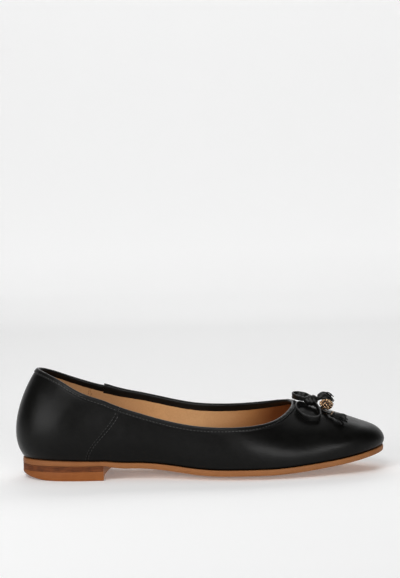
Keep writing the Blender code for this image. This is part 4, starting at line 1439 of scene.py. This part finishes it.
def make_loop(name, node, tree, form, tip_floor, leather):
    heading, (length, width), over, skews, dips, fullness, forward = form
    middle = knot_middle(tree)
    foot = bow_place(tree, 0.0, 0.0, over[0])
    out = np.array([math.cos(heading), math.sin(heading), 0.0])
    tip = middle + out * (KNOT_WIDTH / 2 + length)
    floor = foot[2] - over[0] * STRING_WIDTH
    tip[2] = max(vamp_height(tree, tip[0], tip[1], floor), tip_floor) + over[1] * STRING_WIDTH
    start = np.array([middle[0], middle[1], foot[2]])
    away = tip - start
    side = unit(np.cross(UP, away))
    turn = np.linspace(-math.pi, math.pi, 481)[:, None]
    reach = (1 + np.cos(turn)) / 2
    bulge = np.sin(turn) * np.sin(math.pi / 2 * reach**fullness) * LOOP_SWELL
    bulge = bulge * np.where(turn < 0, 1.0, forward)
    skew = np.where(turn < 0, *skews)
    skewed = reach - skew * np.sin(turn) * np.sin(math.pi * reach)
    path = start + skewed * away + bulge * width / 2 * side
    path = through(clear_of_knot(path, middle, -LOOP_TUCK), 90)
    for point in path:
        below = vamp_height(tree, point[0], point[1], 0.0)
        point[2] = max(point[2], below + LOOP_LIFT * STRING_WIDTH + GAP)
    path = smooth_line(path, 6)
    share = np.linspace(0.0, 1.0, len(path))
    ends = 1.0 - np.sin(math.pi * share) ** 0.6
    path = path - ((dips[0] + (dips[1] - dips[0]) * share) * ends)[:, None] * UP
    facing = np.tile(unit(np.cross(away, side)), (len(path), 1))
    aside = np.clip((path - (start + tip) / 2) @ side / (width / 2), -1.0, 1.0)
    facing = unit(facing + LOOP_FLARE * aside[:, None] * side)
    rings = string_rings(path, facing, LOOP_BAND, LOOP_GATHER)
    return keep(body(name, rings, [leather], caps=True), [node])


def make_tail(name, node, tree, places, clearance, leather):
    points = [bow_place(tree, *place) for place in places]
    points[-1] = lifted(tree, points[-1], clearance)
    path = through(points, 160)
    path = through(clear_of_knot(path, knot_middle(tree), -TAIL_TUCK), 48)
    tangent = np.gradient(path, axis=0)
    rings = string_rings(path, np.cross(tangent, UP), STRING_WIDTH)
    keep(body(name, rings, [leather], caps=True), [node])
    return path[-1]


def make_knot(tree, leather):
    """Knot of the string: wound three times round, with the folds a little aslant."""
    middle = knot_middle(tree)
    rings = []
    turn = np.arange(48) * 2 * math.pi / 48
    for share in np.linspace(0.0, 1.0, 49):
        polar = math.pi * share
        x = -math.cos(polar) * KNOT_LENGTH / 2
        slant = KNOT_SLANT * np.sin(turn + 0.6)
        fold = sum(groove(x + slant - place, 1.0, KNOT_FOLD_WIDTH) for place in KNOT_FOLDS)
        pinch = 1.0 - 0.15 * fold + 0.04 * np.sin(3 * turn + 5 * share)
        flat = math.sin(polar) ** 0.82
        y = flat * np.cos(turn) * KNOT_WIDTH / 2 * pinch
        z = flat * np.sin(turn) * KNOT_HEIGHT / 2 * pinch
        rings.append(middle + np.stack([x + 0 * y, y, z], axis=-1))
    return keep(body("bow_knot_wound", rings, [leather]), ["bow_knot"])


def frame_of(axis):
    side = unit(np.cross(axis, UP))
    return side, np.cross(side, axis)


def strip_rings(path, facing, width, thick):
    tangent = unit(np.gradient(path, axis=0))
    across = unit(np.cross(facing, tangent))
    up = np.cross(tangent, across)
    corner = np.array([(-1, -1), (0, -1.15), (1, -1), (1, 1), (0, 1.15), (-1, 1)]) / 2.0
    sides = corner[:, 0][None, :, None] * across[:, None] * width
    return path[:, None] + sides + corner[:, 1][None, :, None] * up[:, None] * thick


def make_strips(name, node, tree, root, tip, form, leather):
    """Tassel of separate leather strips, loosely bunched, that fan out, curl and lie on the vamp."""
    radius, spread, start_share, count, arch, droop = form
    axis = unit(tip - root)
    reach = np.linalg.norm(tip - root)
    side, up = frame_of(axis)
    bodies = []
    share = np.linspace(0.0, 1.0, 14)
    for k in range(count):
        wild = [math.sin((12.9 + 5.3 * n) * (k + 1) + 2.1 * n) for n in range(5)]
        shell = math.sqrt((k + 0.5) / count)
        turn = k * GOLDEN_TURN
        out = math.cos(turn) * spread * side + math.sin(turn) * up
        around = unit(np.cross(axis, out))
        start = root + out * radius * start_share * shell
        length = reach * (0.90 + 0.16 * wild[0])
        fan = radius * shell * (1.0 - start_share) * share**0.8
        wave = 0.30 * wild[1] * np.sin(2.2 * math.pi * share) * share
        curl = radius * (wave + 0.34 * wild[2] * share**2)
        path = start + axis * (length * share)[:, None] + out * (fan + 0.5 * curl)[:, None]
        path = path + around * (curl * wild[3])[:, None]
        path = path + up * (arch * np.sin(math.pi * share) - droop * share**2)[:, None]
        for point in path:
            below = vamp_height(tree, point[0], point[1], -1.0) + STRIP_THICK
            point[2] = max(point[2], below)
        twist = 1.9 * wild[4] * share[:, None]
        facing = np.cos(twist) * out + np.sin(twist) * around
        width = STRIP_WIDTH * (1.0 + 0.18 * wild[1])
        bodies.append(strip_rings(path, facing, width, STRIP_THICK))
    return keep(many(name, bodies, [leather], 30.0), [node])


def turned(root, axis, form, count):
    side, up = frame_of(axis)
    turn = np.arange(count) * 2 * math.pi / count
    around = np.cos(turn)[:, None] * side + np.sin(turn)[:, None] * up
    return np.array([root + axis * along + around * radius for along, radius in form])


def make_near_tassel(tree, root, leather, gilt):
    aim = bow_place(tree, *NEAR_TASSEL_END)
    tip = root + unit(aim - root) * NEAR_TASSEL_LENGTH
    tip = lifted(tree, tip, NEAR_TASSEL_RADIUS * (1 + FLUTE_DEPTH) + GAP)
    axis = unit(tip - root)
    form = np.array(NEAR_CAP_FORM) * (NEAR_CAP_LENGTH, NEAR_CAP_RADIUS)
    rings = turned(root, axis, form, 40)

    def pick(middles):
        along = (middles - root) @ axis / NEAR_CAP_LENGTH
        return np.where((along > NEAR_CAP_RING[0]) & (along < NEAR_CAP_RING[1]), 1, 0)

    cap = body("tassel_cap_near_wound", rings, [leather, gilt], pick=pick, sharp=60.0)
    keep(cap, ["tassel_cap_near"])
    start = root + axis * (NEAR_CAP_LENGTH - STRIP_TUCK)
    end = start + axis * (NEAR_TASSEL_LENGTH - NEAR_CAP_LENGTH)
    make_strips("tassel_near_strips", "tassel_near", tree, start, end, NEAR_STRIPS, leather)


def ball_mesh(radius, detail):
    bm = bmesh.new()
    bmesh.ops.create_icosphere(bm, subdivisions=detail, radius=radius)
    corners = np.array([vertex.co[:] for vertex in bm.verts])
    faces = [[vertex.index for vertex in face.verts] for face in bm.faces]
    bm.free()
    return corners, faces


def make_bead(place, axis, core, gilt):
    """Bead of small gilt grains packed over an egg form."""
    ways = np.stack([axis, *frame_of(axis)])
    reach = np.array([FAR_CAP_LENGTH / 2, FAR_CAP_RADIUS, FAR_CAP_RADIUS])
    ball, faces = ball_mesh(1.0, 3)
    corners = [place + (ball * (reach - CORE_INSET)) @ ways]
    indices = [0] * len(faces)
    first = len(ball)
    for k in range(GRAINS):
        along = 1.0 - 2.0 * (k + 0.5) / GRAINS
        ring = math.sqrt(1.0 - along * along)
        turn = k * GOLDEN_TURN
        spot = np.array([along, ring * math.cos(turn), ring * math.sin(turn)])
        spot = spot * (reach - GRAIN_INSET) * (1.0 + GRAIN_SWELL * math.sin(9.7 * k))
        ball, links = ball_mesh(GRAIN_RADIUS + GRAIN_SPREAD * math.sin(5.1 * k), 2)
        corners.append(place + spot @ ways + ball)
        faces += [[first + corner for corner in face] for face in links]
        indices += [1] * len(links)
        first += len(ball)
    corners = np.concatenate(corners)
    bead = linked("tassel_cap_far_gilt", corners, faces, [core, gilt], indices, 60.0)
    return keep(bead, ["tassel_cap_far"])


def make_far_tassel(tree, root, leather, gilt):
    axis = unit(bow_place(tree, *FAR_TASSEL_END) - root)
    end = root + axis * FAR_TASSEL_LENGTH
    make_strips("tassel_far_strips", "tassel_far", tree, root, end, FAR_STRIPS, leather)
    place = bow_place(tree, *FAR_CAP_PLACE) + FAR_CAP_RADIUS * UP
    place = lifted(tree, place, FAR_CAP_RADIUS + GAP)
    level = axis * np.array([1.0, 1.0, 0.0])
    make_bead(place, unit(level - BEAD_TILT * UP), leather, gilt)


def make_bow(carriers, leather, gilt):
    tree = tree_of(carriers)
    crest = collar_line(np.array([math.pi]))[0, 2]
    near_clear = NEAR_CAP_RADIUS + GAP
    near_end = make_tail("bow_tail_near_string", "bow_tail_near", tree, NEAR_TAIL, near_clear, leather)
    far_end = make_tail("bow_tail_far_string", "bow_tail_far", tree, FAR_TAIL, GAP, leather)
    make_loop("bow_loop_near_string", "bow_loop_near", tree, NEAR_LOOP, 0.0, leather)
    make_loop("bow_loop_far_string", "bow_loop_far", tree, FAR_LOOP, crest, leather)
    make_knot(tree, leather)
    make_near_tassel(tree, near_end, leather, gilt)
    make_far_tassel(tree, far_end, leather, gilt)


# Studio
def make_floor():
    material, shader = shader_of("studio_floor", (0.86, 0.86, 0.86), 0.9, 0.1)
    where = place_of(material)
    shader.inputs["Emission Color"].default_value = WHITE
    glow = ranged(material, where, "Y", WALL_START, WALL_END, FLOOR_GLOW, WALL_GLOW)
    join(material, glow, "Result", shader, "Emission Strength")
    tone = ranged(material, where, "Y", FLOOR_START, FLOOR_END, FLOOR_FRONT, FLOOR_BACK)
    join(material, tone, "Result", shader, "Base Color")
    reach = [(SWEEP_FRONT, 0.0), (SWEEP_BEND, 0.0)]
    for turn in np.linspace(0.0, math.pi / 2, SWEEP_STEPS)[1:]:
        y = SWEEP_BEND + SWEEP_RADIUS * math.sin(turn)
        reach.append((y, SWEEP_RADIUS * (1 - math.cos(turn))))
    reach.append((SWEEP_BEND + SWEEP_RADIUS, SWEEP_TOP))
    sides = (-SWEEP_HALF_WIDTH, SWEEP_HALF_WIDTH)
    corners = [(x, y, z) for y, z in reach for x in sides]
    faces = [[2 * k, 2 * k + 1, 2 * k + 3, 2 * k + 2] for k in range(len(reach) - 1)]
    floor = linked("studio_floor", corners, faces, [material], None, 60.0, shift=False)


def make_light(name, place, target, size, power):
    data = bpy.data.lights.new(name, "AREA")
    data.shape = "RECTANGLE"
    data.size, data.size_y = size
    data.energy = power
    light = bpy.data.objects.new(name, data)
    bpy.context.scene.collection.objects.link(light)
    light.location = place
    way = Vector(target) - Vector(place)
    light.rotation_euler = way.to_track_quat("-Z", "Y").to_euler()


def make_camera():
    """Camera at the photo's angle: a little above the shoe's outer side, rolled slightly."""
    data = bpy.data.cameras.new("camera")
    data.lens = FOCAL_PIXELS * SENSOR / FRAME_HEIGHT
    data.sensor_width = SENSOR
    data.sensor_fit = "AUTO"
    data.dof.use_dof = False
    below = (SHOE_ROW - FRAME_HEIGHT / 2) * PIXEL_SIZE
    pitch = CAMERA_RISE - math.atan(below / CAMERA_DISTANCE) + CAMERA_NUDGE_UP
    yaw = CAMERA_NUDGE_RIGHT
    back = Vector((0.0, -math.cos(CAMERA_RISE), math.sin(CAMERA_RISE)))
    place = Vector((0.0, 0.0, CAMERA_AIM)) + CAMERA_DISTANCE * back
    ahead = Vector((math.cos(pitch) * math.sin(yaw), math.cos(pitch) * math.cos(yaw), -math.sin(pitch)))
    right = Vector((math.cos(yaw), -math.sin(yaw), 0.0))
    up = right.cross(ahead)
    turned_right = right * math.cos(CAMERA_ROLL) - up * math.sin(CAMERA_ROLL)
    turned_up = up * math.cos(CAMERA_ROLL) + right * math.sin(CAMERA_ROLL)
    camera = bpy.data.objects.new("camera", data)
    bpy.context.scene.collection.objects.link(camera)
    rows = [[turned_right[k], turned_up[k], -ahead[k], place[k]] for k in range(3)]
    camera.matrix_world = Matrix(rows + [[0.0, 0.0, 0.0, 1.0]])
    bpy.context.scene.camera = camera


def make_studio():
    make_floor()
    world = bpy.data.worlds.new("studio")
    bpy.context.scene.world = world
    world.use_nodes = True
    background = world.node_tree.nodes["Background"]
    background.inputs["Color"].default_value = WHITE
    background.inputs["Strength"].default_value = WORLD_LIGHT
    for light in LIGHTS:
        make_light(*light)
    bpy.context.scene.view_settings.view_transform = "Standard"


def main():
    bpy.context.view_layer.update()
    upper_black, binding_black, bow_black = (black_leather(*row) for row in BLACK_LEATHERS)
    tans = [tan_leather(*row) for row in TAN_LEATHERS]
    lining_tan, sock_tan, edge_tan, heel_tan, bottom_tan, stack_brown, breast_tan = tans
    dark_thread, black_thread, tan_thread = (thread_material(*row) for row in THREADS)
    gilt = gilt_material("gilt")
    shell = make_shell(upper_black)
    front_binding = make_bindings(binding_black)
    make_lining(lining_tan)
    make_threads(dark_thread, black_thread, tan_thread)
    make_sole(edge_tan, bottom_tan)
    make_heel(heel_tan, stack_brown, breast_tan)
    make_sock(sock_tan)
    make_bow([shell, front_binding], bow_black, gilt)
    make_studio()
    make_camera()


main()
